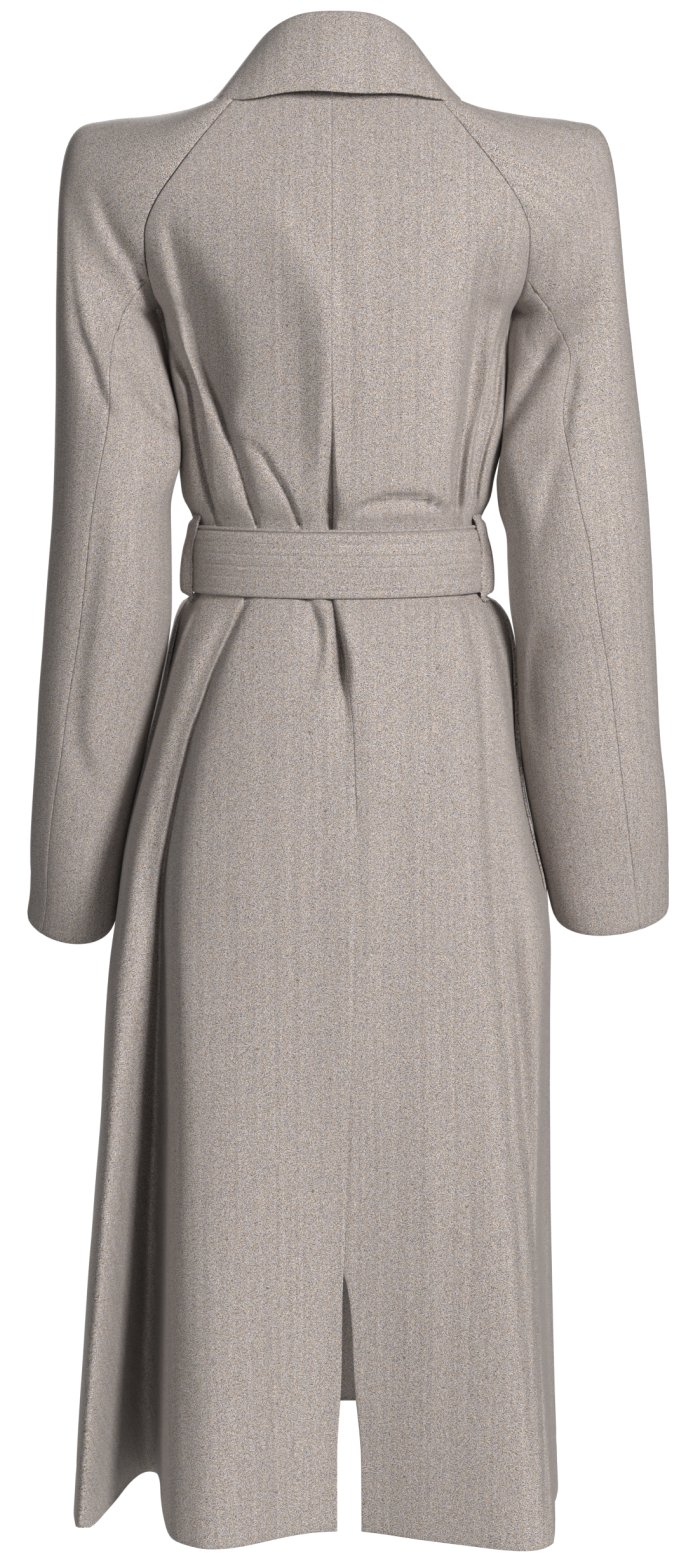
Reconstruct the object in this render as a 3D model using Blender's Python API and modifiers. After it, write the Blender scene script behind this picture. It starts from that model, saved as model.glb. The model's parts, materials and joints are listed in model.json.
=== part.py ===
"""A long belted raglan coat, hollow as it is worn, in metres.

The front faces -Y, the wearer's left is +X and up is +Z. The origin lies at the base of the neck,
between the shoulders, where the wearer carries the coat. Every piece of cloth is a closed wall: an
outer face worked out from the coat's sections and folds, and an inner face one cloth's thickness in.
"""
import math
from collections import namedtuple
from functools import lru_cache

import bmesh
import bpy
from mathutils import Vector

WALL = 0.002                  # a wool coating with its facing pressed flat
SEAM = 0.0003                 # gap between neighbouring pieces
LAP_GAP = 0.0008              # gap between two layers that lie on each other
WRAP_GAP = 0.0018             # gap between the two fronts, which lie loosely

ARMPIT = -0.168               # height where the raglan seams meet under the arm
BELT_TOP = -0.3455
BELT_BOTTOM = -0.4025
HEM = -1.172
VENT_TOP = -0.580
VENT_OPEN = -0.935            # the vent's edges lap above this height and part below it
BELT_THICK = 0.0034
LOOP_WIDE = 0.014


class Table:
    """Rows of sizes with named columns, read smoothly between the values in the first column."""

    def __init__(self, columns, rows):
        self.row = namedtuple("Row", columns)
        self.rows = sorted(rows)
        self.keys = [row[0] for row in self.rows]
        self.at = lru_cache(maxsize=None)(self.read)

    def slope(self, column, index):
        """Slope at a row, level at a peak and never steep enough to overshoot."""
        last = len(self.rows) - 1
        spans, steps_up = [], []
        for low in (index - 1, index):
            if 0 <= low < last:
                spans.append(self.keys[low + 1] - self.keys[low])
                steps_up.append((self.rows[low + 1][column] - self.rows[low][column]) / spans[-1])
        if len(steps_up) == 1:
            return steps_up[0]
        if steps_up[0] * steps_up[1] <= 0:
            return 0.0
        mean = (steps_up[0] * spans[1] + steps_up[1] * spans[0]) / (spans[0] + spans[1])
        limit = 3 * min(abs(steps_up[0]), abs(steps_up[1]))
        return math.copysign(min(abs(mean), limit), mean)

    def read(self, key):
        """All columns at one key value."""
        key = min(max(key, self.keys[0]), self.keys[-1])
        low = 0
        while low < len(self.keys) - 2 and key > self.keys[low + 1]:
            low += 1
        span = self.keys[low + 1] - self.keys[low]
        s = (key - self.keys[low]) / span
        values = [key]
        for column in range(1, len(self.rows[0])):
            start, end = self.rows[low][column], self.rows[low + 1][column]
            lean_in = self.slope(column, low) * span
            lean_out = self.slope(column, low + 1) * span
            values.append((2 * s ** 3 - 3 * s ** 2 + 1) * start + (s ** 3 - 2 * s ** 2 + s) * lean_in
                          + (3 * s ** 2 - 2 * s ** 3) * end + (s ** 3 - s ** 2) * lean_out)
        return self.row(*values)


# Sections of the body, top to bottom: half widths to the wearer's left and right, depths to the back
# and the front, and how square the section is (2 is an ellipse).
BODY = Table("z left right back front square", [
    (0.020, 0.150, 0.150, 0.061, 0.034, 2.5),
    (0.000, 0.180, 0.180, 0.073, 0.042, 2.5),
    (-0.040, 0.221, 0.221, 0.092, 0.066, 2.5),
    (-0.083, 0.206, 0.206, 0.107, 0.092, 2.5),
    (-0.109, 0.189, 0.189, 0.112, 0.106, 2.5),
    (-0.136, 0.1675, 0.1675, 0.116, 0.118, 2.5),
    (-0.154, 0.1560, 0.1560, 0.118, 0.124, 2.5),
    (-0.168, 0.1470, 0.1470, 0.119, 0.127, 2.45),
    (-0.205, 0.1430, 0.1435, 0.120, 0.133, 2.4),
    (-0.248, 0.1370, 0.1435, 0.119, 0.131, 2.4),
    (-0.275, 0.1345, 0.1410, 0.117, 0.125, 2.4),
    (-0.308, 0.1330, 0.1325, 0.113, 0.115, 2.4),
    (-0.325, 0.1300, 0.1290, 0.108, 0.107, 2.35),
    (-0.337, 0.1235, 0.1235, 0.100, 0.098, 2.3),
    (-0.344, 0.1210, 0.1215, 0.094, 0.092, 2.3),
    (-0.404, 0.1210, 0.1215, 0.094, 0.092, 2.3),
    (-0.410, 0.1270, 0.1300, 0.099, 0.095, 2.3),
    (-0.422, 0.1335, 0.1410, 0.107, 0.101, 2.3),
    (-0.441, 0.1385, 0.1480, 0.115, 0.109, 2.4),
    (-0.484, 0.1475, 0.1515, 0.127, 0.121, 2.5),
    (-0.527, 0.1585, 0.1535, 0.136, 0.131, 2.6),
    (-0.575, 0.1705, 0.1590, 0.143, 0.141, 2.7),
    (-0.620, 0.1800, 0.1690, 0.149, 0.150, 2.8),
    (-0.667, 0.1865, 0.1800, 0.154, 0.158, 2.9),
    (-0.704, 0.1920, 0.1830, 0.157, 0.164, 3.0),
    (-0.860, 0.2020, 0.1825, 0.168, 0.190, 3.2),
    (-0.994, 0.2120, 0.1850, 0.176, 0.209, 3.3),
    (HEM, 0.2230, 0.1915, 0.186, 0.230, 3.4),
])

# The raglan line from the neck (0) to the armpit (1), for both sides and for back and front: the
# seam's place across and up, the height of the back's middle and the place and height of the front's
# edge in the same row, and the sleeve's top line. The sleeve leaves the seam along the body's
# surface, sloping up by rise, and turned out of that surface by turn degrees. Reach and round say
# how far its curve runs on straight at the seam and at the top line.
RAGLAN = Table("t x z back_z edge_x edge_z top_left top_right top_z rise turn reach round", [
    (0.00, 0.0800, 0.010, 0.018, 0.074, 0.002, 0.086, 0.086, 0.0040, 0.3, 6, 0.020, 0.020),
    (0.15, 0.1050, -0.019, -0.006, 0.068, -0.023, 0.118, 0.118, 0.0010, 1.0, 8, 0.030, 0.030),
    (0.30, 0.1300, -0.051, -0.032, 0.060, -0.050, 0.155, 0.157, -0.0045, 1.0, 10, 0.038, 0.040),
    (0.45, 0.1500, -0.080, -0.060, 0.051, -0.080, 0.191, 0.195, -0.0085, 0.6, 13, 0.045, 0.050),
    (0.60, 0.1590, -0.107, -0.090, 0.042, -0.108, 0.2185, 0.2215, -0.0165, 0.3, 24, 0.050, 0.060),
    (0.75, 0.1580, -0.132, -0.120, 0.033, -0.134, 0.2315, 0.2335, -0.0500, 0.1, 52, 0.060, 0.070),
    (0.88, 0.1535, -0.153, -0.147, 0.025, -0.153, 0.2350, 0.2390, -0.1060, 0.0, 98, 0.074, 0.084),
    (1.00, 0.1470, -0.168, -0.168, 0.018, -0.168, 0.2360, 0.2445, -0.1680, 0.0, 150, 0.093, 0.093),
])
ARMPIT_PINCH = math.radians(30)   # how far the ring's inner side leans outwards at the armpit
CUFF_SKEW = 0.35              # how far the cuff's lowest point leans towards the inner side
GUSSET = 0.80                 # place on the raglan line where the under sleeve begins

# Front edge below the armpit: how far it stands to its own side of the middle.
FRONT_EDGE = Table("z x", [
    (ARMPIT, 0.018), (-0.215, -0.012), (-0.260, -0.040), (-0.300, -0.062), (BELT_TOP, -0.078),
    (BELT_BOTTOM, -0.085), (-0.700, -0.092), (HEM, -0.098),
])

# Centre back: the place across of the left half's edge and of the right half's edge.
BACK_EDGE = Table("z left right", [
    (0.020, 0.004, 0.004), (-0.200, 0.004, 0.004), (BELT_BOTTOM, 0.003, 0.003),
    (-0.460, -0.007, -0.007), (-0.500, -0.0125, -0.0125), (-0.560, -0.0155, -0.0155),
    (VENT_TOP, -0.0165, -0.0165), (-0.602, -0.0180, -0.0080), (-0.700, -0.0145, -0.0045),
    (VENT_OPEN, -0.0067, -0.0007), (-0.970, -0.0050, -0.0090), (-1.050, -0.0037, -0.0150),
    (-1.110, -0.0005, -0.0205), (HEM, -0.0005, -0.0210),
])

# Sleeves below the armpit: the inner and outer sides' places across, the middle's place from front
# to back, half the depth, how much the rings tip down towards the back, and the places of the back
# and front seams round the ring (0 at the inner side, 0.5 outside, back first).
SLEEVE_COLUMNS = "z inner outer y deep tip back_seam front_seam"
SLEEVE = {
    1: Table(SLEEVE_COLUMNS, [
        (ARMPIT, 0.1470, 0.2360, 0.000, 0.070, 0.00, 0.15, 0.855),
        (-0.205, 0.1430, 0.2362, 0.007, 0.070, 0.00, 0.195, 0.825),
        (-0.248, 0.1365, 0.2365, 0.017, 0.070, 0.00, 0.235, 0.81),
        (-0.290, 0.1340, 0.2370, 0.025, 0.069, 0.00, 0.275, 0.79),
        (-0.334, 0.1395, 0.2388, 0.028, 0.067, 0.03, 0.295, 0.78),
        (-0.377, 0.1390, 0.2425, 0.026, 0.065, 0.06, 0.305, 0.78),
        (-0.419, 0.1395, 0.2465, 0.019, 0.063, 0.10, 0.315, 0.78),
        (-0.441, 0.1420, 0.2485, 0.014, 0.061, 0.13, 0.320, 0.78),
        (-0.484, 0.1505, 0.2530, 0.006, 0.058, 0.18, 0.33, 0.78),
        (-0.530, 0.1615, 0.2568, -0.003, 0.056, 0.23, 0.335, 0.78),
        (-0.577, 0.1730, 0.2615, -0.013, 0.053, 0.28, 0.345, 0.78),
        (-0.622, 0.1825, 0.2650, -0.025, 0.051, 0.33, 0.35, 0.78),
        (-0.667, 0.1885, 0.2665, -0.037, 0.049, 0.38, 0.355, 0.78),
        (-0.687, 0.1915, 0.2700, -0.044, 0.048, 0.40, 0.36, 0.78),
    ]),
    -1: Table(SLEEVE_COLUMNS, [
        (ARMPIT, 0.1470, 0.2445, 0.000, 0.070, 0.00, 0.15, 0.855),
        (-0.205, 0.1440, 0.2485, 0.007, 0.070, 0.00, 0.195, 0.825),
        (-0.248, 0.1440, 0.2540, 0.016, 0.070, 0.00, 0.20, 0.80),
        (-0.290, 0.1410, 0.2585, 0.024, 0.069, 0.00, 0.23, 0.79),
        (-0.312, 0.1355, 0.2605, 0.027, 0.068, 0.01, 0.245, 0.78),
        (-0.334, 0.1370, 0.2625, 0.030, 0.067, 0.03, 0.255, 0.78),
        (-0.355, 0.1430, 0.2640, 0.028, 0.066, 0.05, 0.263, 0.78),
        (-0.377, 0.1440, 0.2660, 0.026, 0.065, 0.07, 0.268, 0.78),
        (-0.419, 0.1470, 0.2685, 0.019, 0.063, 0.10, 0.28, 0.78),
        (-0.441, 0.1510, 0.2705, 0.014, 0.061, 0.13, 0.286, 0.78),
        (-0.484, 0.1540, 0.2735, 0.006, 0.058, 0.18, 0.30, 0.78),
        (-0.530, 0.1560, 0.2765, -0.003, 0.056, 0.23, 0.3125, 0.78),
        (-0.577, 0.1620, 0.2825, -0.013, 0.053, 0.28, 0.316, 0.78),
        (-0.622, 0.1720, 0.2860, -0.025, 0.051, 0.32, 0.32, 0.78),
        (-0.667, 0.1830, 0.2880, -0.036, 0.049, 0.36, 0.326, 0.78),
        (-0.681, 0.1865, 0.2885, -0.040, 0.048, 0.36, 0.33, 0.78),
    ]),
}

# The collar from the middle of the back (0) to its front end (1): the foot of its stand, the roll
# line along its top and the edge of its fall, each as x, y, z for the wearer's left.
COLLAR = Table("s foot_x foot_y foot_z roll_x roll_y roll_z leaf_x leaf_y leaf_z belly", [
    (-0.12, -0.030, 0.0567, 0.0145, -0.026, 0.0530, 0.0735, -0.040, 0.0835, 0.0098, 0.13),
    (0.00, 0.000, 0.0584, 0.0155, 0.000, 0.0560, 0.0755, 0.000, 0.0860, 0.0102, 0.13),
    (0.12, 0.030, 0.0567, 0.0145, 0.028, 0.0530, 0.0735, 0.040, 0.0835, 0.0098, 0.13),
    (0.25, 0.057, 0.0480, 0.0110, 0.050, 0.0400, 0.0635, 0.079, 0.0755, 0.0095, 0.08),
    (0.38, 0.073, 0.0300, 0.0080, 0.064, 0.0180, 0.0490, 0.099, 0.0500, 0.0135, 0.01),
    (0.50, 0.081, 0.0000, 0.0040, 0.071, -0.010, 0.0320, 0.110, -0.0050, 0.0125, 0.00),
    (0.56, 0.0770, -0.0220, 0.0030, 0.0695, -0.030, 0.0275, 0.115, -0.0310, 0.0095, 0.03),
    (0.62, 0.0690, -0.0410, -0.007, 0.0635, -0.049, 0.0140, 0.116, -0.0560, -0.0040, 0.06),
    (0.74, 0.0560, -0.0715, -0.050, 0.0500, -0.080, -0.0420, 0.112, -0.0920, -0.0600, 0.10),
    (0.87, 0.0410, -0.1010, -0.100, 0.0340, -0.110, -0.0920, 0.092, -0.1170, -0.1150, 0.12),
    (1.00, 0.0220, -0.1235, -0.152, 0.0135, -0.132, -0.1470, 0.048, -0.1395, -0.1620, 0.12),
])

# A belt loop's outer face, standing out from the body's section at the belt.
LOOP = Table("z out", [
    (-0.3375, 0.0000), (-0.3440, 0.0072), (-0.3560, 0.0084), (-0.3667, 0.0104), (-0.3790, 0.0122),
    (-0.3920, 0.0130), (-0.4020, 0.0122), (-0.4090, 0.0000),
])

# The belt's two hanging ends: where each starts and ends across, its length, and its width.
Tie = namedtuple("Tie", "name x_top x_end length wide")
TIES = [Tie("belt_end_left", 0.026, 0.050, 0.300, 0.046), Tie("belt_end_right", -0.026, -0.040, 0.345, 0.046)]
KNOT = (0.062, 0.030, 0.078)  # width, depth and height of the cage that the knot is rounded from

# Large folds of the body, each a line down the cloth: how much it pushes along the coat's depth
# (1) or straight out of the section (0), then rows of height, angle in degrees round from the middle
# of the back towards the wearer's left, half widths on the greater and the lesser angle's side, and
# how far the cloth stands out there (in, where it is negative).
Fold = namedtuple("Fold", "depthwise line")
FOLD_COLUMNS = "z at more less out"
FOLDS = [Fold(depthwise, Table(FOLD_COLUMNS, rows)) for depthwise, rows in (
    # the back's left lobe
    (1.0, [(-0.700, 30, 14, 16, 0.0), (-0.900, 30, 12, 15, 0.010), (-1.060, 30, 10, 14, 0.023),
           (HEM, 30, 10, 14, 0.038)]),
    # the deep valley beside it
    (1.0, [(-0.404, 43, 5, 4, 0.0), (-0.435, 46, 6, 4, -0.008), (-0.500, 50, 8, 5, -0.013),
           (-0.600, 52, 9, 5, -0.020), (-0.700, 50, 9, 4.5, -0.032), (-0.850, 47.5, 9, 4, -0.060),
           (-0.957, 46, 9, 3.5, -0.088), (-1.070, 45, 10, 3.2, -0.120), (HEM, 43.5, 10, 3, -0.158)]),
    # the side's flap
    (1.0, [(-0.560, 66, 10, 9, 0.0), (-0.700, 66, 11, 8, 0.010), (-0.900, 66, 13, 10, 0.028),
           (HEM, 68, 16, 13, 0.066)]),
    # the back's right lobe, with the drop to the side beyond it
    (1.0, [(-0.404, -66, 8, 6, 0.0), (-0.440, -66, 10, 6, 0.003), (-0.500, -70, 14, 6, 0.006),
           (-0.590, -73, 16, 6, 0.010), (-0.700, -62, 18, 5, 0.018), (-0.850, -56, 20, 4.5, 0.034),
           (-0.957, -54, 22, 4, 0.047), (-1.070, -55, 24, 3.8, 0.065), (HEM, -56.5, 26, 3.5, 0.086)]),
    # the back's middle
    (1.0, [(-0.800, 0, 12, 12, 0.0), (HEM, 0, 14, 14, -0.014)]),
    (0.0, [(-0.090, 10, 14, 14, 0.0), (-0.195, 3, 12, 12, -0.004), (-0.290, 1, 9, 9, -0.005),
           (-0.336, 3, 6, 6, -0.004), (-0.344, 3, 6, 6, 0.0)]),
    # two creases and the roll between them at each side of the back, down to the belt
    (0.0, [(-0.175, 73, 5, 4, 0.0), (-0.222, 63, 5, 4, -0.008), (-0.290, 57.5, 5, 3.5, -0.009),
           (-0.330, 55.5, 4, 3, -0.006), (-0.344, 55, 4, 3, 0.0)]),
    (0.0, [(-0.180, 60, 4, 5, 0.0), (-0.235, 52, 4, 5, -0.006), (-0.290, 41, 3.5, 5, -0.007),
           (-0.330, 38, 3, 4, -0.005), (-0.344, 38, 3, 4, 0.0)]),
    (0.0, [(-0.150, -53, 4, 5, 0.0), (-0.210, -54.5, 4, 5, -0.006), (-0.290, -50.5, 4, 5, -0.007),
           (-0.330, -53, 3, 4, -0.004), (-0.344, -53, 3, 4, 0.0)]),
    (0.0, [(-0.165, -75, 4, 5, 0.0), (-0.216, -68, 4, 5, -0.007), (-0.280, -60.5, 4, 5, -0.008),
           (-0.330, -62, 3, 4, -0.005), (-0.344, -62, 3, 4, 0.0)]),
    # the front: drag from the bust to the belt, and soft lobes down the skirt
    (0.0, [(-0.200, 118, 6, 6, 0.0), (-0.280, 124, 6, 6, -0.006), (-0.330, 128, 5, 5, -0.005),
           (-0.344, 128, 5, 5, 0.0)]),
    (0.0, [(-0.190, -114, 6, 6, 0.0), (-0.270, -122, 6, 6, -0.007), (-0.330, -130, 5, 5, -0.005),
           (-0.344, -130, 5, 5, 0.0)]),
    (0.6, [(-0.420, 134, 9, 9, 0.0), (-0.560, 132, 11, 10, 0.005), (-0.900, 128, 14, 11, 0.014),
           (HEM, 126, 15, 11, 0.030)]),
    (0.6, [(-0.420, 112, 8, 8, 0.0), (-0.560, 111, 8, 8, -0.006), (-0.900, 108, 9, 9, -0.014),
           (HEM, 106, 9, 9, -0.026)]),
    (0.6, [(-0.420, -128, 9, 9, 0.0), (-0.560, -128, 10, 11, 0.006), (-0.900, -125, 11, 14, 0.016),
           (HEM, -124, 12, 15, 0.028)]),
    (0.6, [(-0.420, -108, 8, 8, 0.0), (-0.560, -107, 8, 8, -0.006), (-0.900, -104, 9, 9, -0.012),
           (HEM, -102, 9, 9, -0.020)]),
)]
PRESSED = 0.016               # height beside the belt over which its grip on the cloth dies away

# Where the panels' columns crowd together round the deep folds, as a share of each back half.
FOCUS = Table("z left right", [
    (0.020, 0.60, 0.62), (ARMPIT, 0.60, 0.64), (BELT_TOP, 0.50, 0.62), (BELT_BOTTOM, 0.48, 0.72),
    (-0.500, 0.55, 0.77), (-0.600, 0.57, 0.79), (-0.700, 0.55, 0.69), (-0.850, 0.52, 0.63),
    (-0.957, 0.505, 0.61), (-1.070, 0.495, 0.62), (HEM, 0.478, 0.635),
])


def radius(angle, z):
    """Distance from the body's axis to its plain section."""
    level = BODY.at(z)
    sine, cosine = math.sin(angle), math.cos(angle)
    across = level.left if sine > 0 else level.right
    along = level.back if cosine > 0 else level.front
    power = level.square
    return ((abs(sine) / across) ** power + (abs(cosine) / along) ** power) ** (-1 / power)


def relief(angle, z):
    """How far the folds push the cloth off the plain section: straight out, and towards the back."""
    grip = ramp(z, BELT_TOP + 0.002, BELT_TOP + PRESSED) + ramp(z, BELT_BOTTOM - 0.002, BELT_BOTTOM - PRESSED)
    straight = along = 0.0
    for fold in FOLDS:
        low, top = fold.line.keys[0], fold.line.keys[-1]
        if grip > 0 and z <= top and (z >= low or low == HEM):
            row = fold.line.at(z)
            away = (math.degrees(angle) - row.at + 180) % 360 - 180
            share = away / (row.more if away > 0 else row.less)
            if abs(share) < 3:
                out = row.out * math.exp(-share ** 2) * grip
                along += out * fold.depthwise * math.copysign(1, math.cos(math.radians(row.at)))
                straight += out * (1 - fold.depthwise)
    return straight, along


def body(angle, z, out=0.0):
    """A point of the body's outer face, round from the middle of the back by an angle."""
    straight, along = relief(angle, z)
    reach = radius(angle, z) + straight + out
    return Vector((reach * math.sin(angle), reach * math.cos(angle) + along, z))


def angle_at(x, z, face):
    """The angle where the body's back (1) or front (-1) stands at x to one side."""
    level = BODY.at(z)
    across = level.left if x > 0 else level.right
    along = level.back if face > 0 else level.front
    share = min(abs(x) / across, 1.0) ** level.square
    y = along * (1 - share) ** (1 / level.square)
    return math.atan2(x, face * y)


def normal_of(surface, a, b, step_a, step_b):
    """Unit normal of a surface of two parameters."""
    across = surface(a + step_a, b) - surface(a - step_a, b)
    down = surface(a, b + step_b) - surface(a, b - step_b)
    return across.cross(down).normalized()


def body_normal(angle, z):
    """Outward normal of the body's outer face."""
    return -normal_of(body, angle, z, 0.025, 0.008)


@lru_cache(maxsize=None)
def raglan_frame(t, side, face):
    """Seam point on the raglan line, the body's normal there, and its level and upward directions."""
    row = RAGLAN.at(t)
    angle = angle_at(side * row.x, row.z, face)
    normal = body_normal(angle, row.z)
    level = Vector((-normal.y, normal.x, 0)).normalized() * (-side * face)
    return body(angle, row.z), normal, level, level.cross(normal) * (side * face)


def curve(start, start_reach, end, end_reach, s):
    """A point on a cubic curve between two points with a straight run-on at each."""
    handle, other = start + start_reach, end + end_reach
    r = 1 - s
    return r ** 3 * start + 3 * r * r * s * handle + 3 * r * s * s * other + s ** 3 * end


@lru_cache(maxsize=None)
def sleeve_half(t, side, face):
    """The four points that steer one half ring of a sleeve, back (1) or front (-1)."""
    if t <= 1.0:
        row = RAGLAN.at(t)
        point, normal, level, up = raglan_frame(t, side, face)
        turn = math.radians(row.turn)
        along = (level + up * row.rise).normalized()
        lead = along * math.cos(turn) + normal * math.sin(turn)
        gap = (along * math.cos(turn / 2) + normal * math.sin(turn / 2)) * SEAM
        top_x = row.top_left if side > 0 else row.top_right
        top = Vector((side * top_x, 0, row.top_z))
        return point + gap, lead * row.reach, top, Vector((0, face * row.round, 0))
    length = SLEEVE[side].keys[0] - ARMPIT
    z = ARMPIT + (t - 1) * length
    row = SLEEVE[side].at(z)
    bulge = row.deep * 4 / 3 * face
    inner = Vector((side * (row.inner + SEAM), row.y, z))
    outer = Vector((side * row.outer, row.y, z))
    reach = Vector((0, bulge, -row.tip * bulge))
    skew = CUFF_SKEW * ramp(z, -0.560, -0.680)
    pinch = ARMPIT_PINCH * (1 - ramp(z, ARMPIT, ARMPIT - 0.100))
    leaving = Vector((side * bulge * face * math.sin(pinch), bulge * math.cos(pinch), reach.z)) * (1 + skew)
    return inner, leaving, outer, reach * (1 - skew)


def sleeve(v, t, side):
    """A point of a sleeve's outer face: v runs round the ring, t down from the neck to the cuff."""
    v = v % 1.0 if not 0 <= v <= 1 else v
    face = 1 if v <= 0.5 else -1
    inner, inner_reach, outer, outer_reach = sleeve_half(round(t, 5), side, face)
    return curve(inner, inner_reach, outer, outer_reach, 2 * v if face > 0 else 2 - 2 * v)


def wall(name, outer, inner, colour, ring=False):
    """A closed wall of cloth between two grids of points; a ring closes on its first column."""
    mesh = bmesh.new()
    faces = [[[mesh.verts.new(point) for point in row] for row in grid] for grid in (outer, inner)]
    rows, columns = len(outer), len(outer[0])
    spans = columns if ring else columns - 1
    front, back = faces
    for i in range(rows - 1):
        for j in range(spans):
            k = (j + 1) % columns
            corners = ((i, j), (i, k), (i + 1, k), (i + 1, j))
            points = [outer[row][column] for row, column in corners]
            if (points[0] - points[2]).length > (points[1] - points[3]).length:
                corners = corners[1:] + corners[:1]
            for places in ((0, 1, 2), (0, 2, 3)):
                triangle = [corners[place] for place in places]
                mesh.faces.new([front[row][column] for row, column in triangle])
                mesh.faces.new([back[row][column] for row, column in reversed(triangle)])
    for j in range(spans):
        k = (j + 1) % columns
        mesh.faces.new((front[0][k], front[0][j], back[0][j], back[0][k]))
        mesh.faces.new((front[-1][j], front[-1][k], back[-1][k], back[-1][j]))
    if not ring:
        for i in range(rows - 1):
            mesh.faces.new((front[i][0], front[i + 1][0], back[i + 1][0], back[i][0]))
            mesh.faces.new((front[i + 1][-1], front[i][-1], back[i][-1], back[i + 1][-1]))
    if mesh.calc_volume(signed=True) < 0:
        bmesh.ops.reverse_faces(mesh, faces=mesh.faces)
    return finish(name, mesh, colour)


def finish(name, mesh, colour):
    """Turn a bmesh into a named object with its cloth, in the coat's collection."""
    data = bpy.data.meshes.new(name)
    mesh.to_mesh(data)
    mesh.free()
    data.shade_smooth()
    data.set_sharp_from_angle(angle=math.radians(50))
    data.materials.append(cloth(name, colour))
    piece = bpy.data.objects.new(name, data)
    coat.objects.link(piece)
    return piece


def cloth(name, colour):
    """A matt wool material in one colour."""
    material = bpy.data.materials.new(name)
    material.use_nodes = True
    shader = material.node_tree.nodes["Principled BSDF"]
    shader.inputs["Base Color"].default_value = (*colour, 1)
    shader.inputs["Roughness"].default_value = 0.9
    shader.inputs["Metallic"].default_value = 0.0
    return material


def steps(start, end, count):
    """Evenly spaced values from start to end, both included."""
    return [start + (end - start) * i / count for i in range(count + 1)]


def body_rows():
    """Row values down the body: 0 to 1 on the raglan line, then heights below the armpit."""
    upper = [("t", t) for t in steps(0, 1, 7)]
    heights = steps(ARMPIT, -0.318, 6)[1:] + [-0.333, -0.3435, -0.4045, -0.411, -0.424, -0.444]
    heights += [-0.474, -0.527, VENT_TOP] + steps(VENT_TOP - 0.022, HEM, 11)
    return upper + [("z", z) for z in heights]


def shares(columns, focus, crowd):
    """Places from 0 to 1 across a panel, crowded round one place."""
    before = round(columns * 0.5)
    result = [focus * (s + crowd * s * (1 - s)) for s in steps(0, 1, before)]
    after = [focus + (1 - focus) * (s - crowd * 0.7 * s * (1 - s)) for s in steps(0, 1, columns - before)]
    return result + after[1:]


def panel(name, side, face, columns, edge, tuck):
    """One back (face 1) or front (face -1) panel on one side, from its middle edge to its side seam."""
    outer, inner = [], []
    for kind, value in body_rows():
        if kind == "t":
            row = RAGLAN.at(value)
            seam_angle = angle_at(side * row.x, row.z, face)
            seam_z = row.z
            edge_x, edge_z = edge(value, None)
        else:
            seam_angle = side * math.pi / 2
            seam_z = value
            edge_x, edge_z = edge(None, value)
        edge_angle = angle_at(edge_x, edge_z, face)
        if face < 0:
            edge_angle = wrapped(edge_angle, side)
        reach = radius(seam_angle, seam_z)
        seam_angle -= side * face * SEAM / 2 / reach
        edge_angle += side * face * SEAM / 2 / reach
        outer.append([])
        inner.append([])
        focus = FOCUS.at(seam_z)
        if face > 0:
            across = shares(columns, focus.left if side > 0 else focus.right, 0.75)
        else:
            across = steps(0, 1, columns)
        for share in across:
            angle = edge_angle + (seam_angle - edge_angle) * share
            z = edge_z + (seam_z - edge_z) * share
            out = -tuck(angle, z)
            point = body(angle, z, out)
            outer[-1].append(point)
            inner[-1].append(point - body_normal(angle, z) * WALL)
    return wall(name, outer, inner, TAUPE)


def wrapped(angle, side):
    """A front angle counted on past the middle of the front, so that a wrap stays in order."""
    if side > 0:
        return angle if angle > 0 else angle + 2 * math.pi
    return angle if angle < 0 else angle - 2 * math.pi


def back_edge(side):
    """Where a back half's middle edge runs."""
    def place(t, z):
        height = RAGLAN.at(t).back_z if z is None else z
        row = BACK_EDGE.at(height)
        return (row.left if side > 0 else row.right), height
    return place


def front_edge(side):
    """Where a front's free edge runs: down the neck opening, then across the other front."""
    def place(t, z):
        if z is None:
            row = RAGLAN.at(t)
            return side * row.edge_x, row.edge_z
        return side * FRONT_EDGE.at(z).x, z
    return place


def under_vent(angle, z):
    """How far the right back half passes in under the left half's vent edge."""
    lap_edge = angle_at(BACK_EDGE.at(z).left, z, 1)
    ease = ramp(angle, lap_edge - 0.40, lap_edge - 0.20)
    return (WALL + WRAP_GAP) * ease * ramp(z, VENT_TOP + 0.045, VENT_TOP)


def under_wrap(angle, z):
    """How far the left front passes in under the right front."""
    top_edge = wrapped(angle_at(-FRONT_EDGE.at(min(z, ARMPIT)).x, z, -1), 1)
    ease = ramp(angle, top_edge - 0.60, top_edge - 0.22)
    return (WALL + WRAP_GAP) * ease * ramp(z, ARMPIT + 0.03, ARMPIT)


def ramp(value, start, end):
    """A soft rise from 0 at start to 1 at end."""
    s = min(max((value - start) / (end - start), 0.0), 1.0)
    return s * s * (3 - 2 * s)


def flat(angle, z):
    """A panel that passes under no other."""
    return 0.0


def sleeve_normal(v, t, side):
    """Outward normal of a sleeve's outer face; on its inner line, the mean of both halves'."""
    def surface(round_ring, down):
        return sleeve(round_ring, down, side)
    safe_t = min(max(t, 0.015), 1.985)
    places = [min(max(v, 0.012), 0.988)]
    if v in (0, 1) and t >= 1:
        places = [0.012, 0.988]
    normals = [normal_of(surface, place, safe_t, 0.011, 0.014) for place in places]
    return sum(normals, Vector()).normalized() * side


def sleeve_wall(name, side, grid):
    """A sleeve piece through a grid of places (v, t) on the sleeve."""
    outer = [[sleeve(v, t, side) for v, t in row] for row in grid]
    inner = [[sleeve(v, t, side) - sleeve_normal(v, t, side) * WALL for v, t in row] for row in grid]
    return wall(name, outer, inner, TAUPE)


def back_seam(t, side):
    """Place round the ring of the seam down the sleeve's back."""
    if t <= 1:
        return SLEEVE[side].at(ARMPIT).back_seam * max(t - GUSSET, 0) / (1 - GUSSET)
    return SLEEVE[side].at(sleeve_height(t, side)).back_seam


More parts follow.
